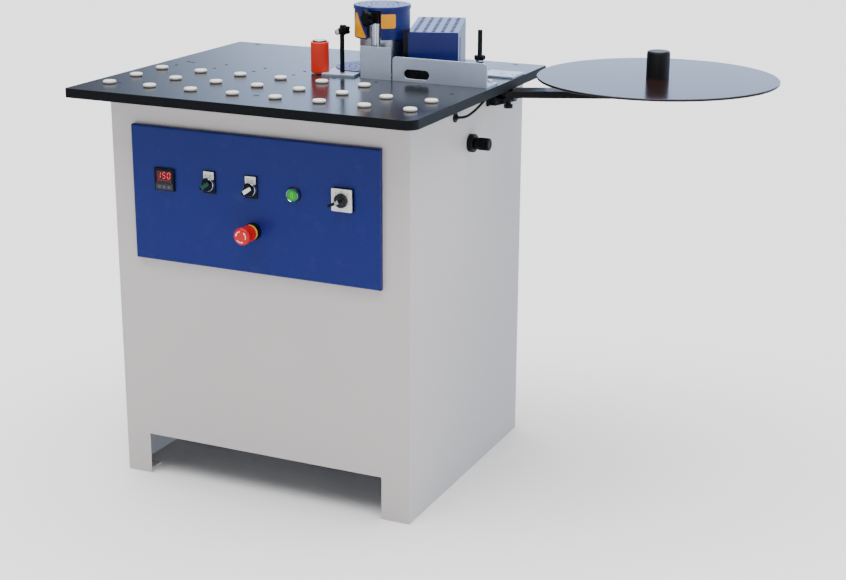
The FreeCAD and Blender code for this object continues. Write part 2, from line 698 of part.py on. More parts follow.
revolved("reel_disc", [
    ("spindle_radius + running_gap", "0"), ("reel_radius - 1", "0"), ("reel_radius", "1"),
    ("reel_radius", "reel_gauge - 1"), ("reel_radius - 1", "reel_gauge"),
    ("hub_radius + running_gap", "reel_gauge"), ("hub_radius + running_gap", "reel_gauge - 1.5"),
    ("spindle_radius + running_gap", "reel_gauge - 1.5"),
], ("reel_x", "reel_y", REEL_BASE))
revolved("reel_hub", [
    ("spindle_radius + running_gap", "-1.5"), ("hub_radius - 1", "-1.5"), ("hub_radius - 1", "0"),
    ("hub_radius", "0"), ("hub_radius", "hub_height - 4"),
    ("hub_radius - 1.2", "hub_height - 1.2"), ("hub_radius - 4", "hub_height"), ("0", "hub_height"),
    ("0", "hub_height - 8"), ("spindle_radius + running_gap", "hub_height - 8"),
], ("reel_x", "reel_y", "reel_top"))

# ---------------------------------------------------------------- rollers and drive

feed_spot = ("feed_x", "feed_y", "0")
revolved("feed_roller", [
    ("shaft_radius", "0"), ("feed_radius - 1.5", "0"), ("feed_radius", "1.5"),
    ("feed_radius", "feed_top - feed_base - 1.5"), ("feed_radius - 1.5", "feed_top - feed_base"),
    ("shaft_radius", "feed_top - feed_base"),
], ("feed_x", "feed_y", "feed_base"))
keep(stepped(feed_spot, [
    ("pulley_base - 6", "shaft_radius - 1", "6"), ("pulley_base", "feed_pulley", "pulley_height"),
    ("pulley_base + pulley_height", "shaft_radius", "feed_top - pulley_base - pulley_height"),
    ("feed_top", "15", "4"),
]), "feed_roller_shaft")
keep(stepped(("glue_x", "glue_y", "0"), [
    ("pulley_base", "glue_pulley", "pulley_height"),
    ("pulley_base + pulley_height", "glue_radius", "glue_top - pulley_base - pulley_height"),
    ("glue_top", "5", "14"),
]), "glue_roller")

bushes = []
for across, along, radius in (("feed_x", "feed_y", "shaft_radius"), ("glue_x", "glue_y", "glue_radius")):
    base = "table_height - bush_length"
    sleeve = rod((across, along, base), f"{radius} + bush_wall", "bush_length")
    bore = rod((across, along, f"{base} - 1"), f"{radius} + running_gap", "bush_length + 2")
    bushes.append(cut(sleeve, bore))
keep(group(*bushes), "roller_bushes")

motor_spot = ("motor_x", "motor_y", "0")
can = stepped(motor_spot, [("690", "motor_radius", "112"), ("802", "12", "8")])
bearer = block(("motor_x - 45", "motor_y - 40", "780"), (90, 80, 6))
posts = []
for across in (-40, 40):
    for along in (-4, 36):
        posts.append(rod((f"motor_x + {across}", f"motor_y + {along}", "786"), "4", f"{CABINET_TOP} - 786"))
keep(fuse(can, bearer, *posts), "drive_motor")
keep(stepped(motor_spot, [
    ("810.3", "6", "6"), ("pulley_base", "motor_pulley", "pulley_height"),
]), "motor_pulley")


def belt_loop(wheels, gauge):
    """The closed outline of a belt around wheels given as (x, y, radius), anticlockwise."""
    edges = []
    ends = []
    for (x0, y0, radius0), (x1, y1, radius1) in zip(wheels, wheels[1:] + wheels[:1]):
        across, along = x1 - x0, y1 - y0
        distance = math.hypot(across, along)
        heading = math.atan2(along, across)
        normal = heading - math.acos((radius0 - radius1) / distance)
        outward = Vector(math.cos(normal), math.sin(normal), 0)
        leave = Vector(x0, y0, 0) + outward * (radius0 + gauge)
        arrive = Vector(x1, y1, 0) + outward * (radius1 + gauge)
        ends.append((leave, arrive))
    for index, (leave, arrive) in enumerate(ends):
        edges.append(Part.LineSegment(leave, arrive).toShape())
        x1, y1, radius1 = wheels[(index + 1) % len(wheels)]
        centre = Vector(x1, y1, 0)
        following = ends[(index + 1) % len(ends)][0]
        middle = (arrive - centre) + (following - centre)
        middle.normalize()
        edges.append(Part.Arc(arrive, centre + middle * (radius1 + gauge), following).toShape())
    return Part.Wire(edges)


belt_wheels = [
    (size("feed_x"), size("feed_y"), size("feed_pulley") + 0.15),
    (size("glue_x"), size("glue_y"), size("glue_pulley") + 0.15),
    (size("motor_x"), size("motor_y"), size("motor_pulley") + 0.15),
]
belt_face = Part.Face(belt_loop(belt_wheels, size("belt_gauge"))).cut(Part.Face(belt_loop(belt_wheels, 0)))
belt = doc.addObject("Part::Feature", "drive_belt")
belt.Shape = belt_face.extrude(Vector(0, 0, size("belt_width")))
belt.Placement = Placement(Vector(0, 0, size("pulley_base") + 2), Rotation())
keep(belt, "drive_belt")

# ---------------------------------------------------------------- round guide rods, clamps and knobs

post_height = "post_top - table_height - plate_gauge"
post = rod(("post_x", "post_y", "table_height + plate_gauge"), "rod_radius", post_height)
guide = rod(("guide_x", "guide_y", "table_height - 16"), "rod_radius", "guide_top - table_height + 16")
keep(group(post, guide), "guide_rods")

sleeve = rod(("post_x", "post_y", "pin_z - 7"), "collar_radius", "14")
pin = rod(("post_x", "post_y + pin_back", "pin_z"), "pin_radius", "pin_front + pin_back", OUT_FRONT)
bore = rod(("post_x", "post_y", "pin_z - 20"), "rod_radius + running_gap", "40")
thread = rod(("post_x", "post_y + pin_back - 1", "pin_z"), "2.5", "9", OUT_BACK)
keep(cut(fuse(sleeve, pin, thread), bore), "post_clamp")
star_knob("post_clamp_knob", "small_knob", "knob_gauge", "0.45 * small_knob", "2.5 + running_gap", "9",
          ("post_x", "post_y + pin_back + 3.3", "pin_z"), OUT_BACK)

ring = rod(("guide_x", "guide_y", "guide_knob_z - 12"), "collar_radius", "8.7")
bore = rod(("guide_x", "guide_y", "guide_knob_z - 13"), "rod_radius + running_gap", "11")
keep(cut(ring, bore), "tape_guide_clamp")
star_knob("tape_guide_knob", "small_knob", "knob_gauge", "rod_radius + 2", "rod_radius + running_gap", "14",
          ("guide_x", "guide_y", "guide_knob_z"))

# ---------------------------------------------------------------- plates on the table

base_plate = new_body("roller_base_plate")
plate = new_sketch(base_plate)
rectangle(plate, "0", "0", "base_plate_length", "base_plate_width")
pad(base_plate, plate, "plate_gauge")
BASE_TURN = Rotation(Vector(0, 0, 1), size("base_plate_turn"))
base_corner = Vector(size("base_plate_x"), size("base_plate_y"), 0)
for across, along, radius in (("vent_x", "vent_y", "vent_radius + 0.5"),
                              ("feed_x", "feed_y", "feed_radius + 1.5")):
    middle = Vector(size(across), size(along), 0) - base_corner
    middle = BASE_TURN.inverted().multVec(middle)
    bay = new_sketch(base_plate, offset="plate_gauge")
    circle(bay, middle.x, middle.y, radius)
    pocket(base_plate, bay, "plate_gauge + 1")
place(base_plate, ("base_plate_x", "base_plate_y", "table_height"), BASE_TURN)

guard = new_body("guard_plate")
profile = new_sketch(guard, "YZ_Plane")
outline(profile, [("0", "0"), ("9", "0"), ("9", "guard_gauge"), ("guard_gauge", "guard_gauge"),
                  ("guard_gauge", "guard_height"), ("0", "guard_height")])
pad(guard, profile, "guard_width")
place(guard, ("guard_left", "guard_front", "table_height"))

fence = new_body("fence")
face = new_sketch(fence, "XZ_Plane")
rectangle(face, "0", "0", "fence_length", "fence_height")
pad(fence, face, "fence_gauge", reversed_side=True)
round_edges(fence, "8", lambda edge: edge.BoundBox.YLength > 1 and edge.BoundBox.XLength < 0.01
            and edge.BoundBox.ZMin > size("fence_height") - 0.01)
feet = new_sketch(fence)
rectangle(feet, "fence_length - 30", "fence_gauge", "30", "57")
rectangle(feet, "2", "fence_gauge", "14", "24")
pad(fence, feet, "4")
opening = new_sketch(fence, "XZ_Plane")
rectangle(opening, "slot_left - fence_left + slot_height / 2", "slot_base - table_height",
          "slot_length - slot_height", "slot_height")
pocket(fence, opening, "fence_gauge + 1")
ends = new_sketch(fence, "XZ_Plane")
for across in ("slot_left - fence_left + slot_height / 2",
               "slot_left - fence_left + slot_length - slot_height / 2"):
    circle(ends, across, "slot_base - table_height + slot_height / 2", "slot_height / 2")
pocket(fence, ends, "fence_gauge + 1")
place(fence, ("fence_left", "fence_front", "table_height"))

stop_foot = block(("196", "-8.5", "table_height"), (70, 22, 4))
stop_wall = block(("196", "-4.5", "table_height"), (70, 5, 30))
stop_tip = rod(("226", "0", "table_height + 16"), "3.5", "8.5", OUT_FRONT)
keep(fuse(stop_foot, stop_wall, stop_tip), "tape_stop_block")

rest = block(("rest_plate_x", "rest_plate_y", "table_height"),
             ("rest_plate_length", "rest_plate_width", "4"))
keep(rest, "side_rest_plate")


def socket_screw(spot, turn=UPRIGHT):
    """A socket head cap screw: a round head on a shank, with a hexagon socket drawn as a round recess."""
    solid = stepped(spot, [("0", "6.5", "7"), ("-9", "3", "9")], turn)
    return cut(solid, stepped(spot, [("3.5", "2.9", "4")], turn))


socket_screws = [
    socket_screw(("379", "35", "table_height + 4")),
    socket_screw(("183", "4", "table_height + 4")),
]
for along in ("pivot_y - 36", "pivot_y + 48"):
    socket_screws.append(socket_screw((f"{HALF_WIDTH} + 5", along, "arm_base + 7.5"), OUT_RIGHT))
keep(group(*socket_screws), "socket_screws")

# ---------------------------------------------------------------- glue pot

POT_TALL = "(pot_top - table_height)"
pot = revolved("glue_pot", [
    ("0", "0"), ("pot_radius", "0"), ("pot_radius", POT_TALL), ("pot_radius - pot_wall", POT_TALL),
    ("pot_radius - pot_wall", "8"), ("0", "8"),
], ("pot_x", "pot_y", "table_height"))
nest = new_sketch(pot, offset=POT_TALL)
circle(nest, "glue_x - pot_x", "glue_y - pot_y", "glue_radius + 0.4")
pocket(pot, nest, f"{POT_TALL} + 1")

heater = rod(("pot_x", "pot_y", "cover_base + 4"), "pot_radius + 3", "30")
heater_bore = rod(("pot_x", "pot_y", "cover_base"), "pot_radius", "40")
roller_gap = rod(("glue_x", "glue_y", "cover_base"), "glue_radius + 2", "40")
keep(cut(heater, heater_bore, roller_gap), "heater_band")

pot_cover = new_body("pot_cover")
wall = new_sketch(pot_cover)
circle(wall, "0.001", "0.001", "cover_radius")
circle(wall, "0.001", "0.001", "cover_radius - cover_gauge")
pad(pot_cover, wall, "cover_top - cover_base")
notch = new_sketch(pot_cover, "XZ_Plane", "30")
rectangle(notch, "-7.5", "-1", "31", "notch_top - cover_base + 1")
pocket(pot_cover, notch, "60", reversed_side=True)
window = new_sketch(pot_cover, "XZ_Plane", "30")
rectangle(window, "2", "notch_top - cover_base", "21", "24")
pocket(pot_cover, window, "60", reversed_side=True)
place(pot_cover, ("pot_x", "pot_y", "cover_base"))

lid = revolved("pot_lid", [
    ("0", "lid_top - cover_top - cover_gauge"),
    ("lid_radius - cover_gauge", "lid_top - cover_top - cover_gauge"),
    ("lid_radius - cover_gauge", "0"), ("lid_radius", "0"), ("lid_radius", "lid_top - cover_top - 1.5"),
    ("lid_radius - 1.5", "lid_top - cover_top"), ("0", "lid_top - cover_top"),
], ("pot_x", "pot_y", "cover_top + 0.1"))


def vent_rings(body, top, gauge, rings):
    """Rings of short slots through a disc: each ring is (radius, slot length, slot width, count)."""
    for radius, length, width, count in rings:
        sketch = new_sketch(body, offset=top)
        rectangle(sketch, f"{radius} - {width / 2}", f"-{length / 2}", width, length)
        polar(body, pocket(body, sketch, gauge), count)


LID_RINGS = [(14, 7, 2.6, 6), (26, 8, 2.6, 10), (38, 8.5, 2.6, 14), (50, 9, 2.6, 18)]
vent_rings(lid, "lid_top - cover_top", "cover_gauge + 0.5", LID_RINGS)

DOSING_TURN = Rotation(Vector(0, 0, 1), -30).multiply(OUT_FRONT)
DOSING_LEAN = DOSING_TURN.multVec(Vector(0, 0, 1))
saddle = block(("glue_x - 8", "glue_y - 9", "glue_top + 0.3"), (18, 14.5, 23))
bridge = block(("glue_x - 4", "glue_y + 4", "pot_top"), (10, 28, 6))
bearing = rod(("glue_x", "glue_y", "glue_top - 1"), "5 + running_gap", "15.5")
knob_thread = rod(("glue_x", "glue_y", "dosing_knob_z"), "3", "24.4", DOSING_TURN)
keep(cut(fuse(saddle, knob_thread, bridge), bearing), "dosing_block")
knob_spot = (f"glue_x + 17.6 * {DOSING_LEAN.x:.4f}", f"glue_y + 17.6 * {DOSING_LEAN.y:.4f}",
             "dosing_knob_z")
star_knob("dosing_knob", "dosing_knob_radius", "12", "0.45 * dosing_knob_radius", "3 + running_gap", "10.2",
          knob_spot, DOSING_TURN)

small_screws = []
for across, along in (("pot_x - 8.9", "pot_y - 43.1"), ("pot_x + 17.9", "pot_y + 40.2")):
    small_screws.append(fastener(across, along, "lid_top + 3.1", "3.5", "3", "1.5", "8"))
for across, along in ((358.5, 151.5), (389.5, 149)):
    small_screws.append(fastener(across, along, "table_height + 4.6", "4.5", "0.6", "2", "14"))
keep(group(*small_screws), "cover_screws")

# ---------------------------------------------------------------- motor cover and table grille

BOX_TURN = Rotation(Vector(0, 0, 1), size("box_turn"))
cover = new_body("motor_cover")
outer = new_sketch(cover)
rectangle(outer, "0", "0", "box_width", "box_depth")
pad(cover, outer, "box_height")
inner = new_sketch(cover)
rectangle(inner, "box_gauge", "box_gauge", "box_width - 2 * box_gauge", "box_depth - 2 * box_gauge")
pocket(cover, inner, "box_height - box_gauge", reversed_side=True)
VENT_COLUMNS = (0.13, 0.3125, 0.495, 0.6775, 0.86)
VENT_SLOTS = 11
SLOT_PITCH = 21.3
SLOT_WIDTH = 8
for column in VENT_COLUMNS:
    slot = new_sketch(cover, offset="box_height")
    rectangle(slot, f"box_width * {column} - {SLOT_WIDTH / 2}", "7", SLOT_WIDTH, "13")
    linear(cover, pocket(cover, slot, "box_gauge + 1"), "Y_Axis", SLOT_PITCH * (VENT_SLOTS - 1), VENT_SLOTS)
slit = new_sketch(cover, "YZ_Plane", "box_width")
rectangle(slit, "46", "14", "20", "68")
pocket(cover, slit, "box_gauge + 1")
place(cover, ("box_x", "box_y", "table_height"), BOX_TURN)

grille = new_body("vent_grille")
dish = new_sketch(grille)
circle(dish, "0.001", "0.001", "vent_radius")
pad(grille, dish, "vent_height")
under = new_sketch(grille)
circle(under, "0.001", "0.001", "vent_radius - 2")
pocket(grille, under, "vent_height - 2", reversed_side=True)
GRILLE_RINGS = [(16, 8, 3, 6), (30, 9, 3, 11), (44, 10, 3, 16), (58, 10, 3, 20)]
vent_rings(grille, "vent_height", "3", GRILLE_RINGS)
bite = new_sketch(grille, offset="vent_height")
circle(bite, "pot_x - vent_x", "pot_y - vent_y", "pot_radius + 1.5")
pocket(grille, bite, "vent_height + 1")
place(grille, ("vent_x", "vent_y", "table_height"))

# ---------------------------------------------------------------- check and write

doc.recompute()
for item in doc.Objects:
    if "Invalid" in item.State or "Error" in item.State:
        raise RuntimeError(f"{item.Label} failed: {item.State}")
for item in sub_parts:
    if item.Shape.isNull() or not item.Shape.isValid():
        raise RuntimeError(f"{item.Label} has no valid shape")

os.makedirs("parts", exist_ok=True)
for item in sub_parts:
    item.Shape.exportStep(f"parts/{item.Label}.step")
print(len(sub_parts), "sub-parts written")
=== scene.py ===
import json
import math

import bmesh
import bpy
from mathutils import Matrix, Vector


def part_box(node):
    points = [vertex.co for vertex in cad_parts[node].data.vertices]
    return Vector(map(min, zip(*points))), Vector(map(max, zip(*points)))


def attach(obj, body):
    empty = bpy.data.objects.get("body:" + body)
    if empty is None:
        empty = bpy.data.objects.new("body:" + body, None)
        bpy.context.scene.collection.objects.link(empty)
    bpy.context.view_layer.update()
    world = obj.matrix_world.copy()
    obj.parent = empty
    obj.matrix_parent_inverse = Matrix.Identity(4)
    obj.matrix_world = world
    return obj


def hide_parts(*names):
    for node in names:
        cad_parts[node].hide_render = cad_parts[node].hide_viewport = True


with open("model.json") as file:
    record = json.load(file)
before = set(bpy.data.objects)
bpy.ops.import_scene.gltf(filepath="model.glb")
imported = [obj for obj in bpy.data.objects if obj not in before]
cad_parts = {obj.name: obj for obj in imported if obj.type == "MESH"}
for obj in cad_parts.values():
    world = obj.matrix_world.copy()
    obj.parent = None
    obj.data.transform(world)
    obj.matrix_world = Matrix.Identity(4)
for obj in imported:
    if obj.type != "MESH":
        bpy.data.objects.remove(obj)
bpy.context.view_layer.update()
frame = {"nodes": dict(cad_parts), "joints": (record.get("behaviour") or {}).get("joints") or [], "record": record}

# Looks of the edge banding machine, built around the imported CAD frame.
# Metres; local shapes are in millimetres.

nodes = frame["nodes"]
body_of_node = {node: body for body, members in frame["record"]["behaviour"]["bodies"].items()
                for node in members}
slot_of_node = {row["node"]: row["material_slot"] for row in frame["record"]["subparts"]}

MM = 0.001
UP = ((1, 0, 0), (0, 1, 0))
FRONT = ((1, 0, 0), (0, 0, 1))       # local z looks along -Y, local y is up
RIGHT = ((0, 1, 0), (0, 0, 1))       # local z looks along +X, local y is up
BACK = ((1, 0, 0), (0, 0, -1))       # local z looks along +Y, local y is down
SHARP_EDGE = math.radians(35)        # edges that turn by more than this are softened


def placed(name, data):
    """A new object in the scene."""
    made = bpy.data.objects.new(name, data)
    bpy.context.scene.collection.objects.link(made)
    return made


# ---------------------------------------------------------------- camera

CAMERA_SPOT = (1.6846, -3.1610, 1.4944)
CAMERA_AZIMUTH = math.radians(24.542)
CAMERA_PITCH = math.radians(17.227)
CAMERA_ROLL = math.radians(0.27)


def aim_camera():
    """The camera at the viewing angle, from its azimuth, downward pitch and roll."""
    data = bpy.data.cameras.new("camera")
    data.lens = 70.04
    data.sensor_width = 36
    camera = placed("camera", data)
    right = Vector((math.cos(CAMERA_AZIMUTH), math.sin(CAMERA_AZIMUTH), 0))
    ahead = Vector((-math.sin(CAMERA_AZIMUTH) * math.cos(CAMERA_PITCH),
                    math.cos(CAMERA_AZIMUTH) * math.cos(CAMERA_PITCH), -math.sin(CAMERA_PITCH)))
    up = right.cross(ahead)
    across = right * math.cos(CAMERA_ROLL) + up * math.sin(CAMERA_ROLL)
    upward = up * math.cos(CAMERA_ROLL) - right * math.sin(CAMERA_ROLL)
    turn = Matrix((across, upward, -ahead)).transposed().to_4x4()
    camera.matrix_world = Matrix.Translation(CAMERA_SPOT) @ turn
    bpy.context.scene.camera = camera


aim_camera()

# ---------------------------------------------------------------- materials


def noise(tree, coordinates, scale, detail):
    """A noise texture over the given coordinates."""
    texture = tree.nodes.new("ShaderNodeTexNoise")
    texture.inputs["Scale"].default_value = scale
    texture.inputs["Detail"].default_value = detail
    tree.links.new(coordinates, texture.inputs["Vector"])
    return texture


def carried(tree, value, low, high, to_low=0.0, to_high=1.0):
    """A value carried from one range to another."""
    share = tree.nodes.new("ShaderNodeMapRange")
    for name, number in (("From Min", low), ("From Max", high), ("To Min", to_low), ("To Max", to_high)):
        share.inputs[name].default_value = number
    tree.links.new(value, share.inputs["Value"])
    return share


def surface(name, colour, roughness, metallic=0.0, mottle=0.06, mottle_scale=14.0, grain_scale=900.0,
            grain_depth=0.00004, stretch=(1, 1, 1), spread=0.06, anisotropic=0.0, specular=0.5,
            wear=0.10, wear_scale=26.0):
    """A surface with soft colour variation, uneven gloss, faint scuffs and a fine, stretchable grain."""
    material = bpy.data.materials.new(name)
    material.use_nodes = True
    tree = material.node_tree
    shader = tree.nodes["Principled BSDF"]
    shader.inputs["Metallic"].default_value = metallic
    shader.inputs["Anisotropic"].default_value = anisotropic
    shader.inputs["Specular IOR Level"].default_value = specular
    where = tree.nodes.new("ShaderNodeTexCoord")
    mapping = tree.nodes.new("ShaderNodeMapping")
    mapping.inputs["Scale"].default_value = stretch
    tree.links.new(where.outputs["Object"], mapping.inputs["Vector"])
    cloud = noise(tree, where.outputs["Object"], mottle_scale, 4)
    blend = tree.nodes.new("ShaderNodeMix")
    blend.data_type = "RGBA"
    blend.inputs["A"].default_value = (*(value * (1 - mottle) for value in colour), 1)
    blend.inputs["B"].default_value = (*(min(1.0, value * (1 + mottle)) for value in colour), 1)
    tree.links.new(cloud.outputs["Fac"], blend.inputs["Factor"])
    scuff = noise(tree, where.outputs["Object"], wear_scale, 9)
    scuff.inputs["Roughness"].default_value = 0.72
    worn = carried(tree, scuff.outputs["Fac"], 0.56, 0.72, 0.0, wear)
    faded = tree.nodes.new("ShaderNodeMix")
    faded.data_type = "RGBA"
    faded.inputs["B"].default_value = (*(value * 0.8 + 0.08 for value in colour), 1)
    tree.links.new(worn.outputs["Result"], faded.inputs["Factor"])
    tree.links.new(blend.outputs["Result"], faded.inputs["A"])
    tree.links.new(faded.outputs["Result"], shader.inputs["Base Color"])
    grain = noise(tree, mapping.outputs["Vector"], grain_scale, 3)
    gloss = carried(tree, grain.outputs["Fac"], 0.3, 0.7, max(0.02, roughness - spread),
                    min(1.0, roughness + spread))
    duller = tree.nodes.new("ShaderNodeMath")
    duller.operation = "MULTIPLY_ADD"
    duller.inputs[1].default_value = 0.8
    tree.links.new(worn.outputs["Result"], duller.inputs[0])
    tree.links.new(gloss.outputs["Result"], duller.inputs[2])
    tree.links.new(duller.outputs["Value"], shader.inputs["Roughness"])
    bump = tree.nodes.new("ShaderNodeBump")
    bump.inputs["Distance"].default_value = grain_depth
    tree.links.new(grain.outputs["Fac"], bump.inputs["Height"])
    tree.links.new(bump.outputs["Normal"], shader.inputs["Normal"])
    return material


def glowing(name, colour, strength):
    """A display segment that gives off red light."""
    material = surface(name, colour, 0.4, mottle=0.03)
    shader = material.node_tree.nodes["Principled BSDF"]
    shader.inputs["Emission Color"].default_value = (*colour, 1)
    shader.inputs["Emission Strength"].default_value = strength
    return material


ALONG_X = (0.03, 1, 1)
ROUND_Z = (0.04, 0.04, 1)

materials = {
    "grey_paint": surface("grey_powder_coat", (0.475, 0.445, 0.430), 0.42, mottle=0.02, mottle_scale=5,
                          grain_scale=1100, grain_depth=0.00003),
    "blue_paint": surface("blue_powder_coat", (0.006, 0.011, 0.125), 0.30, mottle=0.05, mottle_scale=4,
                          grain_scale=1300, grain_depth=0.000025, specular=0.28, wear=0.06),
    "black_laminate": surface("black_laminate", (0.007, 0.008, 0.010), 0.21, mottle=0.25, mottle_scale=60,
                              grain_scale=700, grain_depth=0.00001, spread=0.03, specular=0.42, wear=0.05),
    "zinc_screw": surface("zinc_plate", (0.56, 0.57, 0.60), 0.28, 1.0, mottle=0.12, mottle_scale=200,
                          grain_scale=2500, grain_depth=0.00001),
    "white_plastic": surface("white_acetal", (0.70, 0.665, 0.62), 0.34, mottle=0.03, mottle_scale=90,
                             grain_scale=2200, grain_depth=0.00002),
    "black_plastic": surface("black_plastic", (0.005, 0.005, 0.006), 0.42, mottle=0.12, mottle_scale=60,
                             grain_scale=2400, grain_depth=0.00003, specular=0.16, wear=0.06),
    "grey_rubber_key": surface("grey_rubber", (0.065, 0.07, 0.082), 0.6, mottle=0.06, mottle_scale=150,
                               grain_scale=3000, grain_depth=0.00003),
    "selector_plastic": surface("gloss_black_plastic", (0.004, 0.004, 0.005), 0.24, mottle=0.1,
                                mottle_scale=80, grain_scale=1800, grain_depth=0.00001, specular=0.22,
                                wear=0.05),
    "green_plastic": surface("green_plastic", (0.004, 0.22, 0.06), 0.26, mottle=0.06, mottle_scale=120,
                             grain_scale=1500, grain_depth=0.00001),
    "pale_plastic": surface("pale_plastic", (0.60, 0.60, 0.57), 0.38, mottle=0.03, mottle_scale=60,
                            grain_scale=2000, grain_depth=0.00002),
    "chrome_ring": surface("chrome", (0.80, 0.81, 0.83), 0.08, 1.0, mottle=0.03, mottle_scale=100,
                           grain_scale=1800, grain_depth=0.000004, spread=0.03),
    "knob_black": surface("moulded_black", (0.003, 0.003, 0.004), 0.40, mottle=0.15, mottle_scale=90,
                          grain_scale=2600, grain_depth=0.00004, specular=0.10, wear=0.05),
    "yellow_collar": surface("yellow_plastic", (0.72, 0.46, 0.01), 0.3, mottle=0.05, mottle_scale=90,
                             grain_scale=1600, grain_depth=0.00001),
    "steel": surface("ground_steel", (0.62, 0.62, 0.63), 0.2, 1.0, mottle=0.06, mottle_scale=60,
                     grain_scale=2500, grain_depth=0.00001, stretch=ROUND_Z, anisotropic=0.4),
    "red_plastic": surface("red_plastic", (0.50, 0.006, 0.007), 0.30, mottle=0.06, mottle_scale=60,
                           grain_scale=1600, grain_depth=0.00001, specular=0.3),
    "black_rubber": surface("black_rubber", (0.008, 0.008, 0.009), 0.5, mottle=0.15, mottle_scale=80,
                            grain_scale=2600, grain_depth=0.00004, specular=0.2, wear=0.06),
    "black_steel": surface("black_enamel", (0.004, 0.004, 0.005), 0.30, mottle=0.1, mottle_scale=12,
                           grain_scale=900, grain_depth=0.00003, specular=0.16, wear=0.06),
    "reel_board": surface("brown_film_board", (0.011, 0.0045, 0.004), 0.20, mottle=0.25, mottle_scale=22,
                          grain_scale=500, grain_depth=0.00001, spread=0.04, specular=0.27, wear=0.05),
    "hub_plastic": surface("turned_black_plastic", (0.007, 0.007, 0.008), 0.36, mottle=0.1, mottle_scale=60,
                           grain_scale=1500, grain_depth=0.00004, stretch=ROUND_Z, specular=0.25, wear=0.06),
    "orange_rubber": surface("orange_polyurethane", (0.72, 0.024, 0.003), 0.48, mottle=0.08,
                             mottle_scale=40, grain_scale=1800, grain_depth=0.00004, stretch=ROUND_Z),
    "bronze": surface("bronze", (0.50, 0.30, 0.12), 0.3, 1.0, mottle=0.1, mottle_scale=60,
                      grain_scale=2000, grain_depth=0.00001, stretch=ROUND_Z),
    # brushed steel whose grey base colour is tinted blue: painted reflection of the bluish surroundings
    "brushed_plate": surface("brushed_steel_painted_blue_reflection", (0.62, 0.70, 0.84), 0.40, 0.85, mottle=0.13, mottle_scale=26,
                             grain_scale=2600, grain_depth=0.00003, stretch=ALONG_X, spread=0.12,
                             anisotropic=0.3, wear=0.25, wear_scale=34),
    "stainless": surface("stainless_steel", (0.56, 0.56, 0.57), 0.30, 1.0, mottle=0.08, mottle_scale=20,
                         grain_scale=2600, grain_depth=0.00001, stretch=ROUND_Z, anisotropic=0.6),
    "motor_casting": surface("motor_enamel", (0.10, 0.11, 0.12), 0.5, mottle=0.1, mottle_scale=30,
                             grain_scale=700, grain_depth=0.0002),
}
matt_steel = surface("matt_steel", (0.46, 0.47, 0.49), 0.45, 1.0, mottle=0.1, mottle_scale=30,
                     grain_scale=1500, grain_depth=0.00003)
key_grey = surface("dark_key_field", (0.032, 0.034, 0.040), 0.55, mottle=0.1, mottle_scale=150,
                   grain_scale=3000, grain_depth=0.00003, specular=0.25)
label_white = surface("label_white", (0.62, 0.62, 0.60), 0.45, mottle=0.04, mottle_scale=200)
label_yellow = surface("label_yellow", (0.84, 0.33, 0.0), 0.40, mottle=0.04, mottle_scale=90,
                       specular=0.25, wear=0.05)
ink = surface("dark_ink", (0.03, 0.03, 0.035), 0.5, mottle=0.1, mottle_scale=300)
ring_white = surface("white_ink", (0.75, 0.62, 0.60), 0.4, mottle=0.05, mottle_scale=300)
display_glass = surface("display_glass", (0.018, 0.004, 0.006), 0.12, mottle=0.1, mottle_scale=60,
                        grain_depth=0.000004)
lit_red = glowing("lit_red", (1.0, 0.004, 0.002), 0.75)
# the unlit segments and bars glow faintly though nothing lights them: painted glow
unlit_red_painted_glow = glowing("unlit_red_painted_glow", (0.20, 0.004, 0.006), 0.12)
lime = surface("lime_mark", (0.20, 0.55, 0.02), 0.35, mottle=0.05, mottle_scale=200)
# a lighter, glossier copy of the blue paint for the upward faces: painted sheen where the tops catch more light
blue_paint_painted_top_sheen = surface("blue_powder_coat_painted_top_sheen", (0.03, 0.05, 0.19), 0.30, mottle=0.06, mottle_scale=5,
                     grain_scale=1300, grain_depth=0.000025, specular=1.0, wear=0.10)
# dark edging on the table's sides; the same finish is also the painted shade of the sheets under the slots
black_edging_and_painted_shade = surface("black_edging_and_painted_shade", (0.004, 0.0045, 0.005), 0.5, mottle=0.2, mottle_scale=40,
                       grain_scale=1200, grain_depth=0.00003, specular=0.12, wear=0.04)
satin_silver = surface("satin_silver", (0.72, 0.72, 0.71), 0.28, 1.0, mottle=0.06, mottle_scale=80,
                       grain_scale=2600, grain_depth=0.00001)

# ---------------------------------------------------------------- mesh helpers


def spot(origin, axes=UP):
    """The matrix of a local frame at a point, from its x and y axes."""
    x_axis, y_axis = Vector(axes[0]), Vector(axes[1])
    turn = Matrix((x_axis, y_axis, x_axis.cross(y_axis))).transposed().to_4x4()
    return Matrix.Translation(origin) @ turn


def finished(name, shape, finish, sharp):
    """Turn a shape in metres into an object whose flat faces stay flat beside their rounded edges."""
    mesh = bpy.data.meshes.new(name)
    shape.to_mesh(mesh)
    shape.free()
    mesh.shade_smooth()
    mesh.set_sharp_from_angle(angle=math.radians(sharp))
    mesh.materials.append(finish)
    made = placed(name, mesh)
    weighting = made.modifiers.new("flat faces", "WEIGHTED_NORMAL")
    weighting.keep_sharp = True
    weighting.weight = 100
    return made


def piece(name, shape, where, body, slot, replaced=(), finish=None, sharp=35):
    """Turn a local shape in millimetres into an object at a place, riding on a body, in its slot's finish
    unless another is given."""
    shape.transform(where @ Matrix.Scale(MM, 4))
    bmesh.ops.recalc_face_normals(shape, faces=shape.faces)
    made = finished(name, shape, finish or materials[slot], sharp)
    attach(made, body)
    if replaced:
        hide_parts(*replaced)


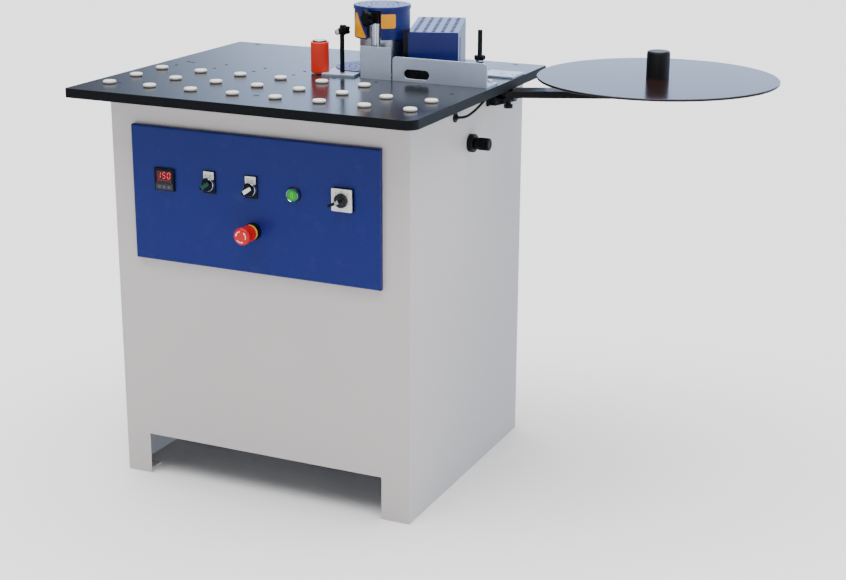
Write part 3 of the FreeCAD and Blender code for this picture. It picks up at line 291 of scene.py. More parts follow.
def turned(profile, steps=64, flutes=0, flute_depth=0.0, fluted=(), closed=False):
    """A shape turned about local z from (radius, height) points; the fluted points ripple around the axis."""
    shape = bmesh.new()
    rings = []
    for index, (radius, height) in enumerate(profile):
        if radius == 0:
            rings.append([shape.verts.new((0, 0, height))])
            continue
        ring = []
        for step in range(steps):
            angle = 2 * math.pi * step / steps
            reach = radius
            if index in fluted:
                reach -= flute_depth * (0.5 + 0.5 * math.cos(flutes * angle))
            ring.append(shape.verts.new((reach * math.cos(angle), reach * math.sin(angle), height)))
        rings.append(ring)
    pairs = list(zip(rings, rings[1:]))
    if closed:
        pairs.append((rings[-1], rings[0]))
    for low, high in pairs:
        for step in range(steps):
            following = (step + 1) % steps
            corners = []
            for vertex in (low[step % len(low)], low[following % len(low)],
                           high[following % len(high)], high[step % len(high)]):
                if vertex not in corners:
                    corners.append(vertex)
            if len(corners) > 2:
                shape.faces.new(corners)
    return shape


def slab(outline, low, high, bevel=0.0, segments=2):
    """A flat shape with the given outline between two heights, its edges softened."""
    shape = bmesh.new()
    base = shape.faces.new([shape.verts.new((x, y, low)) for x, y in outline])
    grown = bmesh.ops.extrude_face_region(shape, geom=[base])
    for item in grown["geom"]:
        if isinstance(item, bmesh.types.BMVert):
            item.co.z = high
    if bevel:
        soften(shape, bevel, segments)
    return shape


def soften(shape, width, segments=2):
    """Bevel the sharp edges of a shape."""
    shape.normal_update()
    sharp = [edge for edge in shape.edges
             if len(edge.link_faces) == 2 and edge.calc_face_angle(0) > SHARP_EDGE]
    bmesh.ops.bevel(shape, geom=sharp, offset=width, segments=segments, profile=0.7,
                    affect="EDGES", clamp_overlap=False)


def joined(*shapes):
    """Several shapes as one."""
    first = shapes[0]
    for other in shapes[1:]:
        mesh = bpy.data.meshes.new("joining")
        other.to_mesh(mesh)
        other.free()
        first.from_mesh(mesh)
        bpy.data.meshes.remove(mesh)
    return first


def moved(shape, offset=(0, 0, 0), turn=0.0):
    """A shape moved, after a turn about local z in degrees."""
    shape.transform(Matrix.Translation(offset) @ Matrix.Rotation(math.radians(turn), 4, "Z"))
    return shape


def centre(node):
    """The middle of the box round a CAD node."""
    low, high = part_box(node)
    return (low + high) / 2


def rounded_rectangle(width, height, radius, steps=5):
    """Outline points of a rectangle with round corners."""
    points = []
    for quarter, (side_x, side_y) in enumerate(((1, 1), (-1, 1), (-1, -1), (1, -1))):
        for step in range(steps + 1):
            angle = math.pi / 2 * (quarter + step / steps)
            points.append((side_x * (width / 2 - radius) + radius * math.cos(angle),
                           side_y * (height / 2 - radius) + radius * math.sin(angle)))
    return points


def circle_points(radius, count):
    """Points around a circle."""
    return [(radius * math.cos(2 * math.pi * step / count), radius * math.sin(2 * math.pi * step / count))
            for step in range(count)]


OTHER_SLOT = {"arm_pivot_bolt": "black_steel"}


def dressed(node, width):
    """A copy of a CAD node with its edges softened, which stands for the node."""
    slot = OTHER_SLOT.get(node, slot_of_node[node])
    shape = bmesh.new()
    shape.from_mesh(nodes[node].data)
    bmesh.ops.remove_doubles(shape, verts=shape.verts, dist=2e-6)
    bmesh.ops.dissolve_limit(shape, angle_limit=math.radians(1.0), verts=shape.verts, edges=shape.edges)
    soften(shape, width * MM)
    made = finished(node + "_finish", shape, materials[slot], 40)
    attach(made, body_of_node[node])
    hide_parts(node)
    return made


for node, item in nodes.items():
    item.data.materials.clear()
    item.data.materials.append(materials[slot_of_node[node]])

# ---------------------------------------------------------------- heater cable

CABLE_SIDE, CABLE_LEVEL = -0.084, 0.828
CABLE_ROUTE = [
    (0.330, CABLE_SIDE, CABLE_LEVEL), (0.361, CABLE_SIDE, CABLE_LEVEL), (0.3695, -0.066, 0.8285),
    (0.371, -0.040, 0.832), (0.371, -0.012, 0.8375), (0.370, 0.016, 0.8435), (0.368, 0.046, 0.8485),
    (0.368, 0.046, 0.871),
]
CABLE_RADIUS = 0.0028


def run_cable():
    """The short lead from the side grommet to the underside of the table."""
    line = bpy.data.curves.new("heater_lead", "CURVE")
    line.dimensions = "3D"
    line.bevel_depth = CABLE_RADIUS
    line.bevel_resolution = 6
    line.resolution_u = 12
    route = line.splines.new("NURBS")
    route.points.add(len(CABLE_ROUTE) - 1)
    for point, place in zip(route.points, CABLE_ROUTE):
        point.co = (*place, 1)
    route.order_u = 3
    route.use_endpoint_u = True
    line.materials.append(materials["black_rubber"])
    lead = placed("heater_lead", line)
    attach(lead, "machine")
    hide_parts("heater_cable")


run_cable()

# ---------------------------------------------------------------- softened CAD pieces

EDGE_WIDTHS = {
    "cabinet_shell": 0.7, "back_panel": 0.5, "table_top": 0.9, "control_panel": 0.5, "motor_cover": 0.45,
    "pot_cover": 0.4, "pot_lid": 0.4, "vent_grille": 0.4, "fence": 0.5, "guard_plate": 0.4,
    "roller_base_plate": 0.4, "side_rest_plate": 0.4, "arm_bracket": 0.8, "reel_arm": 1.0,
    "tape_stop_block": 0.5, "dosing_block": 0.6, "glue_pot": 0.6, "guide_rods": 0.7, "post_clamp": 0.6,
    "tape_guide_clamp": 0.8, "temperature_controller": 0.5, "regulator_body": 1.2, "arm_pivot_bolt": 0.8,
    "foot_plates": 0.6, "top_frame": 0.6, "glue_roller": 0.5, "feed_roller_shaft": 0.8,
    "cable_grommets": 0.8, "drive_motor": 1.0, "motor_pulley": 0.6, "switchgear": 1.0,
}


def second_finish(item, material, chosen):
    """Give the faces whose normal passes a test another material."""
    item.data.materials.append(material)
    for face in item.data.polygons:
        face.material_index = int(chosen(face.normal))


for node, width in EDGE_WIDTHS.items():
    softened = dressed(node, width)
    if node == "table_top":
        second_finish(softened, black_edging_and_painted_shade, lambda normal: abs(normal.z) < 0.5)
    # the upward faces of the covers take the lighter blue copy: painted sheen on the tops
    if node in ("motor_cover", "pot_lid"):
        second_finish(softened, blue_paint_painted_top_sheen, lambda normal: normal.z > 0.9)

# ---------------------------------------------------------------- table glides and screws

GLIDE_STEP = 100                     # spacing along a row
GLIDE_START = -350                   # first glide of every row
GLIDE_ROWS = ((-302, 8), (-202, 8), (-102, 6))
TABLE_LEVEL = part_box("table_top")[1].z
SCREW_SPOTS = [(-335, -292), (0, -292), (335, -292), (-335, 0), (335, 0), (-335, 293), (0, 293), (335, 293)]


def glide_shape():
    """A domed round pad on a short neck, with a stud below the table's surface."""
    return turned([(0, -13), (3.6, -13), (3.8, -0.2), (12.2, 0), (13.0, 0.9), (13.6, 2.0), (13.75, 3.4),
                   (13.4, 5.0), (12.4, 6.1), (11.0, 6.5), (0, 6.5)], steps=48)


glides = []
for along, count in GLIDE_ROWS:
    for column in range(count):
        glides.append(moved(glide_shape(), (GLIDE_START + GLIDE_STEP * column, along, 0)))
piece("glide_pads", joined(*glides), spot((0, 0, TABLE_LEVEL)), "machine", "white_plastic", ["glides"],
      sharp=50)


def hexagon_screw(head, height, socket, shank, length):
    """A screw head with a hexagon socket, its shank below zero."""
    ring_steps = 36
    shape = turned([(0, -length), (shank, -length), (shank, -0.3), (head - 0.4, 0), (head, 0.5),
                    (head, height - 0.6), (head - 0.6, height), (socket * 1.22, height)], steps=ring_steps)
    shape.verts.ensure_lookup_table()
    rim = [vertex for vertex in shape.verts if abs(vertex.co.z - height) < 1e-6
           and vertex.co.xy.length < socket * 1.3]
    rim.sort(key=lambda vertex: math.atan2(vertex.co.y, vertex.co.x))
    for level in (height, height - socket * 0.9):
        ring = []
        for vertex in rim:
            angle = math.atan2(vertex.co.y, vertex.co.x) % (math.pi / 3)
            reach = socket / math.cos(angle - math.pi / 6)
            flat = vertex.co.xy.normalized() * reach
            ring.append(shape.verts.new((flat.x, flat.y, level)))
        for step in range(ring_steps):
            following = (step + 1) % ring_steps
            shape.faces.new((rim[step], rim[following], ring[following], ring[step]))
        rim = ring
    shape.faces.new(rim)
    return shape


sunk_screws = [moved(hexagon_screw(5.8, 2.9, 1.9, 2.8, 20), (across, along, -3.0))
               for across, along in SCREW_SPOTS]
piece("table_fixing_screws", joined(*sunk_screws), spot((0, 0, TABLE_LEVEL)), "machine", "zinc_screw",
      ["table_screws"], finish=materials["black_steel"])

CAP_HEAD = (6.5, 7, 2.6, 2.9)        # head radius, height, socket, shank
cap_screws = [moved(hexagon_screw(*CAP_HEAD, 8), place) for place in ((379, 35, 884), (183, 4, 884))]
piece("cap_screws_upright", joined(*cap_screws), spot((0, 0, 0)), "machine", "zinc_screw",
      ["socket_screws"])
side_screws = [moved(hexagon_screw(*CAP_HEAD, 5), (along, 847.7, 355)) for along in (92.8, 176.8)]
piece("cap_screws_side", joined(*side_screws), spot((0, 0, 0), RIGHT), "machine", "black_steel")


def cross_screw(head, height, length):
    """A round dished head with a raised cross, its shank below zero."""
    shape = turned([(0, -length), (head * 0.42, -length), (head * 0.42, 0), (head - 0.3, 0), (head, 0.3),
                    (head * 0.86, height * 0.75), (head * 0.5, height), (head * 0.45, height * 0.55),
                    (0, height * 0.45)], steps=24)
    for turn in (0, 90):
        bar = slab(rounded_rectangle(head * 1.1, head * 0.2, head * 0.08, 2), height * 0.5, height * 0.98)
        shape = joined(shape, moved(bar, turn=turn))
    return shape


LID_SCREW_SPOTS = ((-8.9, -43.1, 0), (17.9, 40.2, 0))
POT_AXIS = centre("pot_lid")
LID_MIDDLE = (POT_AXIS.x, POT_AXIS.y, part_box("pot_lid")[1].z)
lid_screws = [moved(cross_screw(3.6, 2.6, 6), place) for place in LID_SCREW_SPOTS]
piece("lid_screws", joined(*lid_screws), spot(LID_MIDDLE), "machine", "zinc_screw", ["cover_screws"])
REST_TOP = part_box("side_rest_plate")[1].z
REST_SCREW_SPOTS = ((358.5, 151.5, 0), (389.5, 149, 0))
rest_screws = [moved(hexagon_screw(4.6, 0.9, 1.8, 2, 8), place) for place in REST_SCREW_SPOTS]
piece("rest_plate_screws", joined(*rest_screws), spot((0, 0, REST_TOP)), "machine", "zinc_screw")
sink_profile = [(4.5, -0.3), (6.3, -0.3), (6.3, 0.12), (4.5, 0.05)]
rest_sinks = [moved(turned(sink_profile, steps=36, closed=True), place) for place in REST_SCREW_SPOTS]
piece("rest_plate_sinks", joined(*rest_sinks), spot((0, 0, REST_TOP)), "machine", "black_plastic")

# ---------------------------------------------------------------- control panel

PANEL_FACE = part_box("control_panel")[0].y


def on_panel(node):
    """A local frame on the panel's face, centred on a node."""
    middle = centre(node)
    return spot((middle.x, PANEL_FACE, middle.z), FRONT)


# the side and level of each bar's middle, as shares of half a digit
SEGMENTS = {"a": (0, 1), "b": (1, 0.5), "c": (1, -0.5), "d": (0, -1), "e": (-1, -0.5),
            "f": (-1, 0.5), "g": (0, 0)}
DIGIT_WIDTH, DIGIT_HEIGHT, STROKE, SLANT = 6.4, 13.0, 1.7, 0.14


def digit(lit):
    """The chosen bars of one slanting seven-bar digit."""
    bars = []
    for name in lit:
        side, level = SEGMENTS[name]
        upright = side != 0
        length = DIGIT_HEIGHT / 2 - STROKE * 0.75 if upright else DIGIT_WIDTH - STROKE * 0.7
        half, tip = length / 2, STROKE / 2
        outline = [(-half, 0), (-half + tip, tip), (half - tip, tip), (half, 0), (half - tip, -tip),
                   (-half + tip, -tip)]
        bar = slab(outline, 0, 0.25)
        if upright:
            moved(bar, turn=90)
        moved(bar, (side * DIGIT_WIDTH / 2, level * DIGIT_HEIGHT / 2, 0))
        bars.append(bar)
    shape = joined(*bars)
    for vertex in shape.verts:
        vertex.co.x += SLANT * vertex.co.y
    return shape


controller = on_panel("temperature_controller")
piece("display_window", slab(rounded_rectangle(37.4, 28.4, 1.2), 3.0, 4.55, 0.2),
      controller @ Matrix.Translation((0, 4.5 * MM, 0)), "machine", "black_plastic", finish=display_glass)
DIGIT_SPOTS = (-11.8, 0, 11.8)
for name, bars, level, finish in (("lit_digits", ("bc", "acdfg", "abcdef"), 4.6, lit_red),
                                  ("unlit_digits", ("adefg", "be", "g"), 4.56, unlit_red_painted_glow)):
    digits = [moved(digit(chosen), (across, 9, level)) for chosen, across in zip(bars, DIGIT_SPOTS)]
    piece(name, joined(*digits), controller, "machine", "red_plastic", finish=finish)
indicator = [moved(slab(rounded_rectangle(33, 1.5, 0.6, 3), 4.5, 4.66), (0, -1.8, 0))]
for across in (-15.5, 15.5):
    indicator.append(moved(slab(circle_points(1.1, 16), 4.5, 4.7), (across, -5.2, 0)))
piece("display_bars", joined(*indicator), controller, "machine", "red_plastic", finish=unlit_red_painted_glow)
piece("key_field", slab(rounded_rectangle(42, 13, 1.5), 4.8, 5.15, 0.1),
      controller @ Matrix.Translation((0, -15.5 * MM, 0)), "machine", "black_plastic", finish=key_grey)
for number in (1, 2, 3):
    node = f"controller_key_{number}"
    piece(f"key_pad_{number}", slab(rounded_rectangle(8, 6.4, 3.1, 6), 3.8, 5.9, 0.5, 3), on_panel(node),
          body_of_node[node], "grey_rubber_key", [node])

LEVER_TURN = 213                     # degrees from local x to the lever as it rests


def on_axis(node):
    """A local frame on the panel's face, centred on the axis that a node turns about."""
    joint = next(item for item in frame["joints"] if item["child"] == body_of_node[node])
    return spot((joint["pos_m"][0], PANEL_FACE, joint["pos_m"][2]), FRONT)


def selector(side, lever_material, slot_name):
    """A switch with a legend plate, a chrome ring and a lever with a dark tip."""
    node = f"selector_lever_{side}"
    body = body_of_node[node]
    here = on_axis(node)
    plate = slab(rounded_rectangle(30, 48, 2.0), 0, 3.0, 0.5)
    well = turned([(12.0, 1), (13.6, 1), (13.9, 8.6), (13.1, 9.6), (11.4, 9.6), (11.2, 3.2), (0, 3.2)])
    replaced = ["selector_bases"] if side == "left" else ()
    piece(f"legend_plate_{side}", joined(moved(plate, (0, 4, 0)), well), here, "machine",
          "selector_plastic", replaced)
    card = slab(rounded_rectangle(25, 16, 1.0), 2.9, 3.35, 0.12)
    piece(f"legend_card_{side}", moved(card, (-0.6, 18.2, 0)), here, "machine", "selector_plastic",
          finish=label_white)
    marks = [moved(slab(rounded_rectangle(3.4, 6.5, 1.2), 3.3, 3.42), (-6.2, 18.2, 0)),
             moved(slab(rounded_rectangle(6.6, 3.6, 0.8), 3.3, 3.42), (4.6, 18.2, 0))]
    piece(f"legend_marks_{side}", joined(*marks), here, "machine", "selector_plastic", finish=matt_steel)
    ring = turned([(13.2, 2.8), (14.6, 3.0), (15.1, 4.2), (15.1, 8.6), (14.5, 10.6), (13.6, 11.4),
                   (12.9, 10.8), (12.7, 3.0)], steps=72, closed=True)
    piece(f"selector_ring_{side}", ring, here, "machine", "chrome_ring")
    hub = turned([(0, 3.0), (11.0, 3.0), (11.0, 9.6), (10.2, 10.6), (8.0, 11.2), (0, 11.4)])
    grip = slab([(-8.5, -3.6), (-8.5, 3.6), (6, 4.6), (17.0, 3.9), (19.0, 2.0), (19.0, -2.0), (17.0, -3.9),
                 (6, -4.6)], 9.8, 15.4, 1.0, 3)
    piece(f"lever_core_{side}", moved(joined(hub, grip), turn=LEVER_TURN), here, body, "selector_plastic")
    inlay = slab([(-8.0, -3.3), (-8.0, 3.3), (5, 4.3), (13.2, 4.1), (13.2, -4.1), (5, -4.3)],
                 10.8, 16.2, 0.9, 3)
    piece(f"lever_inlay_{side}", moved(inlay, turn=LEVER_TURN), here, body, slot_name, [node],
          finish=lever_material)


green_lever = surface("green_lever", (0.002, 0.055, 0.032), 0.24, mottle=0.06, mottle_scale=120,
                      specular=0.35)
white_lever = surface("white_lever", (0.66, 0.66, 0.64), 0.26, mottle=0.04, mottle_scale=120)
selector("left", green_lever, "green_plastic")
selector("right", white_lever, "pale_plastic")

# start button
start = on_panel("start_button_bezel")
piece("start_base_ring", turned([(12.4, 0), (16.2, 0), (16.2, 1.4), (15.2, 2.2), (12.4, 2.2)], closed=True),
      start, "machine", "selector_plastic")
piece("start_bezel_ring", turned([(12.2, 1.8), (14.4, 1.8), (14.4, 6.5), (13.7, 9.4), (13.0, 10.4),
                                  (12.4, 9.8), (12.2, 4.0)], closed=True),
      start, "machine", "chrome_ring", ["start_button_bezel"])
bright_green = surface("bright_green", (0.0, 0.30, 0.02), 0.30, mottle=0.05, mottle_scale=150, specular=0.3)
piece("start_cap_face", turned([(0, 0), (11.9, 0), (12.0, 8.6), (11.5, 9.6), (10.2, 10.1), (5, 10.4),
                                (0, 10.5)]),
      start, "start_button", "green_plastic", ["start_button_cap"], finish=bright_green)


def hoop(outer, inner, low, high):
    """A flat band between two outlines with the same number of points."""
    shape = bmesh.new()
    levels = [[shape.verts.new((x, y, level)) for x, y in line]
              for line, level in ((outer, low), (outer, high), (inner, high), (inner, low))]
    count = len(outer)
    for first, second in zip(levels, levels[1:] + levels[:1]):
        for step in range(count):
            following = (step + 1) % count
            shape.faces.new((first[step], first[following], second[following], second[step]))
    return shape


def oval(half_width, half_height):
    """Points around an upright oval."""
    return [(half_width * math.cos(step / 16 * math.pi), half_height * math.sin(step / 16 * math.pi))
            for step in range(32)]


piece("start_mark", hoop(oval(2.9, 6.4), oval(1.798, 5.184), 10.2, 10.62), start, "start_button",
      "green_plastic", finish=lime)

# rotary switch
rotary = on_axis("rotary_switch_knob")
piece("rotary_body_block", slab(rounded_rectangle(47, 48, 2.5), 0, 6.4, 0.6), rotary, "machine",
      "selector_plastic", ["rotary_switch_base"])
piece("rotary_face_plate", slab(rounded_rectangle(45.8, 46.8, 2.0), 6.2, 9.0, 0.5), rotary, "machine",
      "pale_plastic")


def numeral(text, place, name):
    """A printed figure on the rotary switch's plate, as a thin solid."""
    curve = bpy.data.curves.new(name, "FONT")
    curve.body = text
    curve.size = 6.2
    curve.align_x = "CENTER"
    curve.align_y = "CENTER"
    curve.extrude = 0.06
    holder = placed(name + "_line", curve)
    solid = bpy.data.meshes.new_from_object(holder.evaluated_get(bpy.context.evaluated_depsgraph_get()))
    shape = bmesh.new()
    shape.from_mesh(solid)
    bpy.data.objects.remove(holder)
    bpy.data.meshes.remove(solid)
    piece(name, moved(shape, place), rotary, "machine", "selector_plastic", finish=ink)


for text, across, up, name in (("1", -13.0, 14.0, "figure_one"), ("0", 0.0, 18.2, "figure_zero"),
                               ("2", 13.0, 14.0, "figure_two")):
    numeral(text, (across, up, 9.06), name)

HANDLE_TURN = 206
NOTCH_TURN = 36
collar = turned([(0, 9.4), (14.6, 9.4), (14.9, 10.2), (14.9, 14.0), (14.0, 15.4), (12.4, 15.8), (11.6, 14.8),
                 (9.6, 14.6), (9.0, 16.8), (7.8, 18.2), (0, 18.6)], steps=72)
notch_block = moved(slab(rounded_rectangle(4.2, 5.0, 0.8), 12.5, 16.8, 0.5), (13.6, 0, 0))
collar_grey = surface("collar_grey", (0.018, 0.018, 0.020), 0.32, mottle=0.1, mottle_scale=80, specular=0.4)
piece("rotary_collar", moved(joined(collar, notch_block), turn=NOTCH_TURN), rotary, "rotary_knob",
      "knob_black", ["rotary_switch_knob"], finish=collar_grey)


def tapered_bar(points):
    """A round bar through (distance, height, radius) points, lying along local x."""
    steps = 20
    shape = bmesh.new()
    rings = []
    for distance, height, radius in points:
        rings.append([shape.verts.new((distance, radius * math.cos(2 * math.pi * step / steps),
                                       height + radius * math.sin(2 * math.pi * step / steps)))
                      for step in range(steps)])
    for first, second in zip(rings, rings[1:]):
        for step in range(steps):
            following = (step + 1) % steps
            shape.faces.new((first[step], first[following], second[following], second[step]))
    shape.faces.new(rings[0])
    shape.faces.new(rings[-1])
    return shape


handle = tapered_bar([(-7.6, 19.4, 1.2), (-6.6, 19.5, 3.2), (-3, 19.6, 4.2), (2, 19.7, 4.2), (7, 20.1, 3.7),
                      (12, 20.7, 3.2), (18, 21.6, 3.0), (22, 22.2, 3.3), (25, 22.6, 3.5), (26, 22.8, 2.5)])
piece("rotary_handle", moved(handle, turn=HANDLE_TURN), rotary, "rotary_knob", "knob_black",
      finish=materials["selector_plastic"])
clip = tapered_bar([(1.0, 19.7, 4.1), (2.0, 19.8, 4.6), (8.4, 20.4, 4.1), (9.4, 20.5, 3.5)])
piece("rotary_handle_band", moved(clip, turn=HANDLE_TURN), rotary, "rotary_knob", "chrome_ring",
      finish=satin_silver)

# emergency stop
stop = on_panel("stop_button_base")
piece("stop_base_ring", turned([(10.4, 0), (18.6, 0), (18.8, 1.2), (17.6, 5.0), (16.6, 11.5), (10.4, 11.5)],
                               closed=True),
      stop, "machine", "selector_plastic", ["stop_button_base"])
piece("stop_collar", turned([(10.4, 11.0), (16.4, 11.0), (16.4, 15.4), (15.6, 16.0), (14.0, 21.5),
                             (10.4, 21.5)], closed=True),
      stop, "machine", "yellow_collar")
mushroom = turned([(6, 37), (13.9, 37.4), (14.6, 19.0), (16.6, 18.2), (17.3, 19.0), (16.2, 25), (15.0, 31),
                   (14.6, 36.5), (15.6, 38.6), (17.8, 40.6), (18.6, 43.6), (18.5, 47.4), (17.6, 50.0),
                   (15.4, 51.6), (11.0, 52.4), (5, 52.8), (0, 52.9)], steps=72)
piece("stop_mushroom", mushroom, stop, "stop_head", "red_plastic", ["stop_button_head"])
ARROW_RADIUS, ARROW_SWEEP, ARROW_STEPS = 11.4, 78, 10
arrows = []
for start_angle in (100, 220, 340):
    outer = []
    inner = []
    for step in range(ARROW_STEPS + 1):
        angle = math.radians(start_angle + ARROW_SWEEP * step / ARROW_STEPS)
        # an even stroke, then a head that narrows to its tip
        spread = 0.85 if step < 8 else 1.9 * (ARROW_STEPS - step) / 2.0 + 0.05
        for line, radius in ((outer, ARROW_RADIUS + spread), (inner, ARROW_RADIUS - spread)):
            line.append((radius * math.cos(angle), radius * math.sin(angle)))
    arrows.append(slab(outer + inner[::-1], 51.9, 52.62))
piece("stop_arrows", joined(*arrows), stop, "stop_head", "red_plastic", finish=ring_white)

# ---------------------------------------------------------------- regulator and grommet

regulator_middle = centre("regulator_knob")
regulator = spot((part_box("regulator_knob")[0].x, regulator_middle.y, regulator_middle.z), RIGHT)
grip = turned([(0, 0), (12.4, 0), (13.0, 0.8), (13.0, 6.2), (12.2, 6.8), (12.2, 8.6), (13.4, 9.6),
               (13.4, 20), (13.4, 31.0), (12.6, 33.0), (10.8, 33.7), (6.4, 33.7), (6.0, 33.0), (0, 33.0)],
              steps=192, flutes=24, flute_depth=1.1, fluted=(6, 7, 8))
piece("regulator_grip", grip, regulator, "regulator_knob", "knob_black", ["regulator_knob"], sharp=60)

GROMMET_FACE = (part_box("cabinet_shell")[1].x + 3 * MM, CABLE_SIDE, CABLE_LEVEL)
piece("lead_sleeve", turned([(0, 0), (5.8, 0), (5.6, 0.9), (4.4, 3.6), (4.0, 4.6), (3.6, 4.9), (0, 4.9)],
                            steps=40),
      spot(GROMMET_FACE, RIGHT), "machine", "black_rubber")

# ---------------------------------------------------------------- star knobs

KNOB_BOSS = 3.0                      # height of the boss below a star knob's lobes


def star_shape(radius, gauge, boss):
    """A moulded knob with five soft lobes, rounded over at both faces, and a boss below.

    Each ring has its share of the radius, the share of the lobes' depth, a fixed radius and its height.
    """
    lobes, steps = 5, 120
    rings = [(0.0, 0.0, boss, -KNOB_BOSS), (0.0, 0.0, boss, 0.0), (0.86, 1.0, 0, 0.0), (0.96, 1.0, 0, 0.09),
             (1.0, 1.0, 0, 0.26), (1.0, 1.0, 0, 0.70), (0.965, 1.0, 0, 0.87), (0.88, 1.0, 0, 0.97),
             (0.70, 0.7, 0, 1.02), (0.46, 0.2, 0, 1.0), (0.40, 0.0, 0, 0.93)]
    shape = bmesh.new()
    made = []
    for scale, lobed, fixed, level in rings:
        ring = []
        for step in range(steps):
            angle = 2 * math.pi * step / steps
            dip = 0.27 * lobed * (0.5 + 0.5 * math.cos(lobes * angle)) ** 1.5
            reach = fixed if fixed else radius * scale * (1 - dip)
            height = level if fixed else level * gauge
            ring.append(shape.verts.new((reach * math.cos(angle), reach * math.sin(angle), height)))
        made.append(ring)
    for first, second in zip(made, made[1:]):
        for step in range(steps):
            following = (step + 1) % steps
            shape.faces.new((first[step], first[following], second[following], second[step]))
    shape.faces.new(made[0])
    shape.faces.new(made[-1])
    return shape


def star_knob(name, node, radius, gauge, boss, where, insert, finish, slot):
    """A star knob with a round insert in its face."""
    body = body_of_node[node]
    piece(name, star_shape(radius, gauge, boss), where, body, "knob_black", [node], sharp=50)
    disc = turned([(0, gauge * 0.90), (insert, gauge * 0.90), (insert, gauge * 0.97), (insert - 0.5, gauge),
                   (0, gauge * 1.01)], steps=32)
    piece(name + "_insert", disc, where, body, slot, finish=finish)


knob_middle = centre("post_clamp_knob")
knob_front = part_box("post_clamp_knob")[0].y + KNOB_BOSS * MM
star_knob("post_star", "post_clamp_knob", 11.5, 10, 5.2,
          spot((knob_middle.x, knob_front, knob_middle.z), BACK), 3.4, satin_silver, "steel")
clamp_middle = centre("post_clamp")
piece("post_clamp_pin", turned([(0, -1), (4.6, -1), (4.6, 0.1), (4.2, 0.4), (0, 0.5)], steps=36),
      spot((clamp_middle.x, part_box("post_clamp")[0].y, clamp_middle.z), FRONT), "post_clamp", "steel",
      finish=satin_silver)
DOSING = next(item for item in frame["joints"] if item["name"] == "dosing_knob_turn")
dosing_axis = Vector(DOSING["axis"])
star_knob("dosing_star", "dosing_knob", 18.5, 12, 8.3,
          spot(DOSING["pos_m"], (Vector((0, 0, 1)).cross(dosing_axis), (0, 0, 1))),
          5.0, materials["knob_black"], "knob_black")
guide_middle = centre("tape_guide_knob")
GUIDE_AXIS = (guide_middle.x, guide_middle.y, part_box("tape_guide_knob")[0].z + KNOB_BOSS * MM)
piece("tape_guide_star", star_shape(12.4, 10, 7), spot(GUIDE_AXIS), "tape_knob", "knob_black",
      ["tape_guide_knob"], sharp=50)
piece("tape_guide_bush", turned([(5.2, -3.2), (7.4, -3.2), (7.6, -2.6), (7.6, -0.4), (7.2, 0.1), (5.2, 0.1)],
                                closed=True),
      spot(GUIDE_AXIS), "tape_knob", "steel", finish=satin_silver)

# ---------------------------------------------------------------- feed roller

GROOVES = 11
roller_low, roller_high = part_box("feed_roller")
roller_middle = centre("feed_roller")
roller_axis = (roller_middle.x, roller_middle.y, roller_low.z)
ROLLER_TALL = (roller_high.z - roller_low.z) / MM
sleeve = [(8.2, 0), (18.6, 0), (19.7, 0.5), (20, 1.4)]
for groove in range(1, GROOVES + 1):
    level = ROLLER_TALL * groove / (GROOVES + 1)
    sleeve += [(20, level - 0.35), (19.9, level), (20, level + 0.35)]
sleeve += [(20, ROLLER_TALL - 1.4), (19.7, ROLLER_TALL - 0.4), (18.8, ROLLER_TALL), (8.2, ROLLER_TALL)]
piece("feed_roller_sleeve", turned(sleeve, steps=96, closed=True), spot(roller_axis), "feed_roller",
      "orange_rubber", ["feed_roller"], sharp=60)
cap_top = (roller_axis[0], roller_axis[1], roller_high.z)
dark_steel = surface("dark_steel", (0.07, 0.07, 0.075), 0.22, 1.0, mottle=0.1, mottle_scale=90,
                     grain_scale=2400, grain_depth=0.00001, stretch=ROUND_Z)
piece("feed_roller_cap", turned([(0, 0), (15.2, 0), (15.4, 0.5), (15.2, 3.1), (14.0, 3.9), (5.0, 4.0),
                                 (4.4, 3.3), (0, 3.3)]),
      spot(cap_top), "feed_roller", "steel", finish=dark_steel)

# ---------------------------------------------------------------- labels on the pot cover

cover_low, cover_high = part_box("pot_cover")
COVER_RADIUS = (cover_high.x - cover_low.x) / 2 / MM
cover_middle = centre("pot_cover")
cover_axis = spot((cover_middle.x, cover_middle.y, 0))


def curved_label(name, base_angles, top_angles, low_level, high_level):
    """A plain label on the round cover, between two pairs of angles, at its foot and at its head."""
    columns, rows, proud, corner = 16, 14, 0.25, 0.06
    shape = bmesh.new()
    skins = []
    for radius in (COVER_RADIUS + 0.02, COVER_RADIUS + proud):
        grid = []
        for row in range(rows + 1):
            share = row / rows
            left = base_angles[0] + (top_angles[0] - base_angles[0]) * share
            right = base_angles[1] + (top_angles[1] - base_angles[1]) * share
            inset = corner * (right - left) * max(0.0, 1 - min(share, 1 - share) / 0.06)
            line = []
            for column in range(columns + 1):
                angle = math.radians(left + inset + (right - left - 2 * inset) * column / columns)
                line.append(shape.verts.new((radius * math.cos(angle), radius * math.sin(angle),
                                             low_level + (high_level - low_level) * share)))
            grid.append(line)
        skins.append(grid)
    for grid in skins:
        for row in range(rows):
            for column in range(columns):
                shape.faces.new((grid[row][column], grid[row][column + 1], grid[row + 1][column + 1],
                                 grid[row + 1][column]))
    inner, outer = skins
    for row in range(rows):
        for column in (0, columns):
            shape.faces.new((inner[row][column], inner[row + 1][column], outer[row + 1][column],
                             outer[row][column]))
    for column in range(columns):
        for row in (0, rows):
            shape.faces.new((inner[row][column], inner[row][column + 1], outer[row][column + 1],
                             outer[row][column]))
    piece(name, shape, cover_axis, "machine", "blue_paint", finish=label_yellow)


curved_label("plain_label_square", (-66.5, -36), (-66.5, -36), 986, 1016)
curved_label("plain_label_wedge", (-158, -98), (-133, -127), 964, 1016)

# ---------------------------------------------------------------- black sheets under the slotted lid and cover: painted shade seen through the slots

# a black disc under the lid's slots, standing in for the shade inside: painted shade
piece("lid_shade_sheet", turned([(0, -4.0), (60, -4.0), (60, -1.9), (0, -1.9)], steps=72),
      spot(LID_MIDDLE), "machine", "black_plastic", finish=black_edging_and_painted_shade)

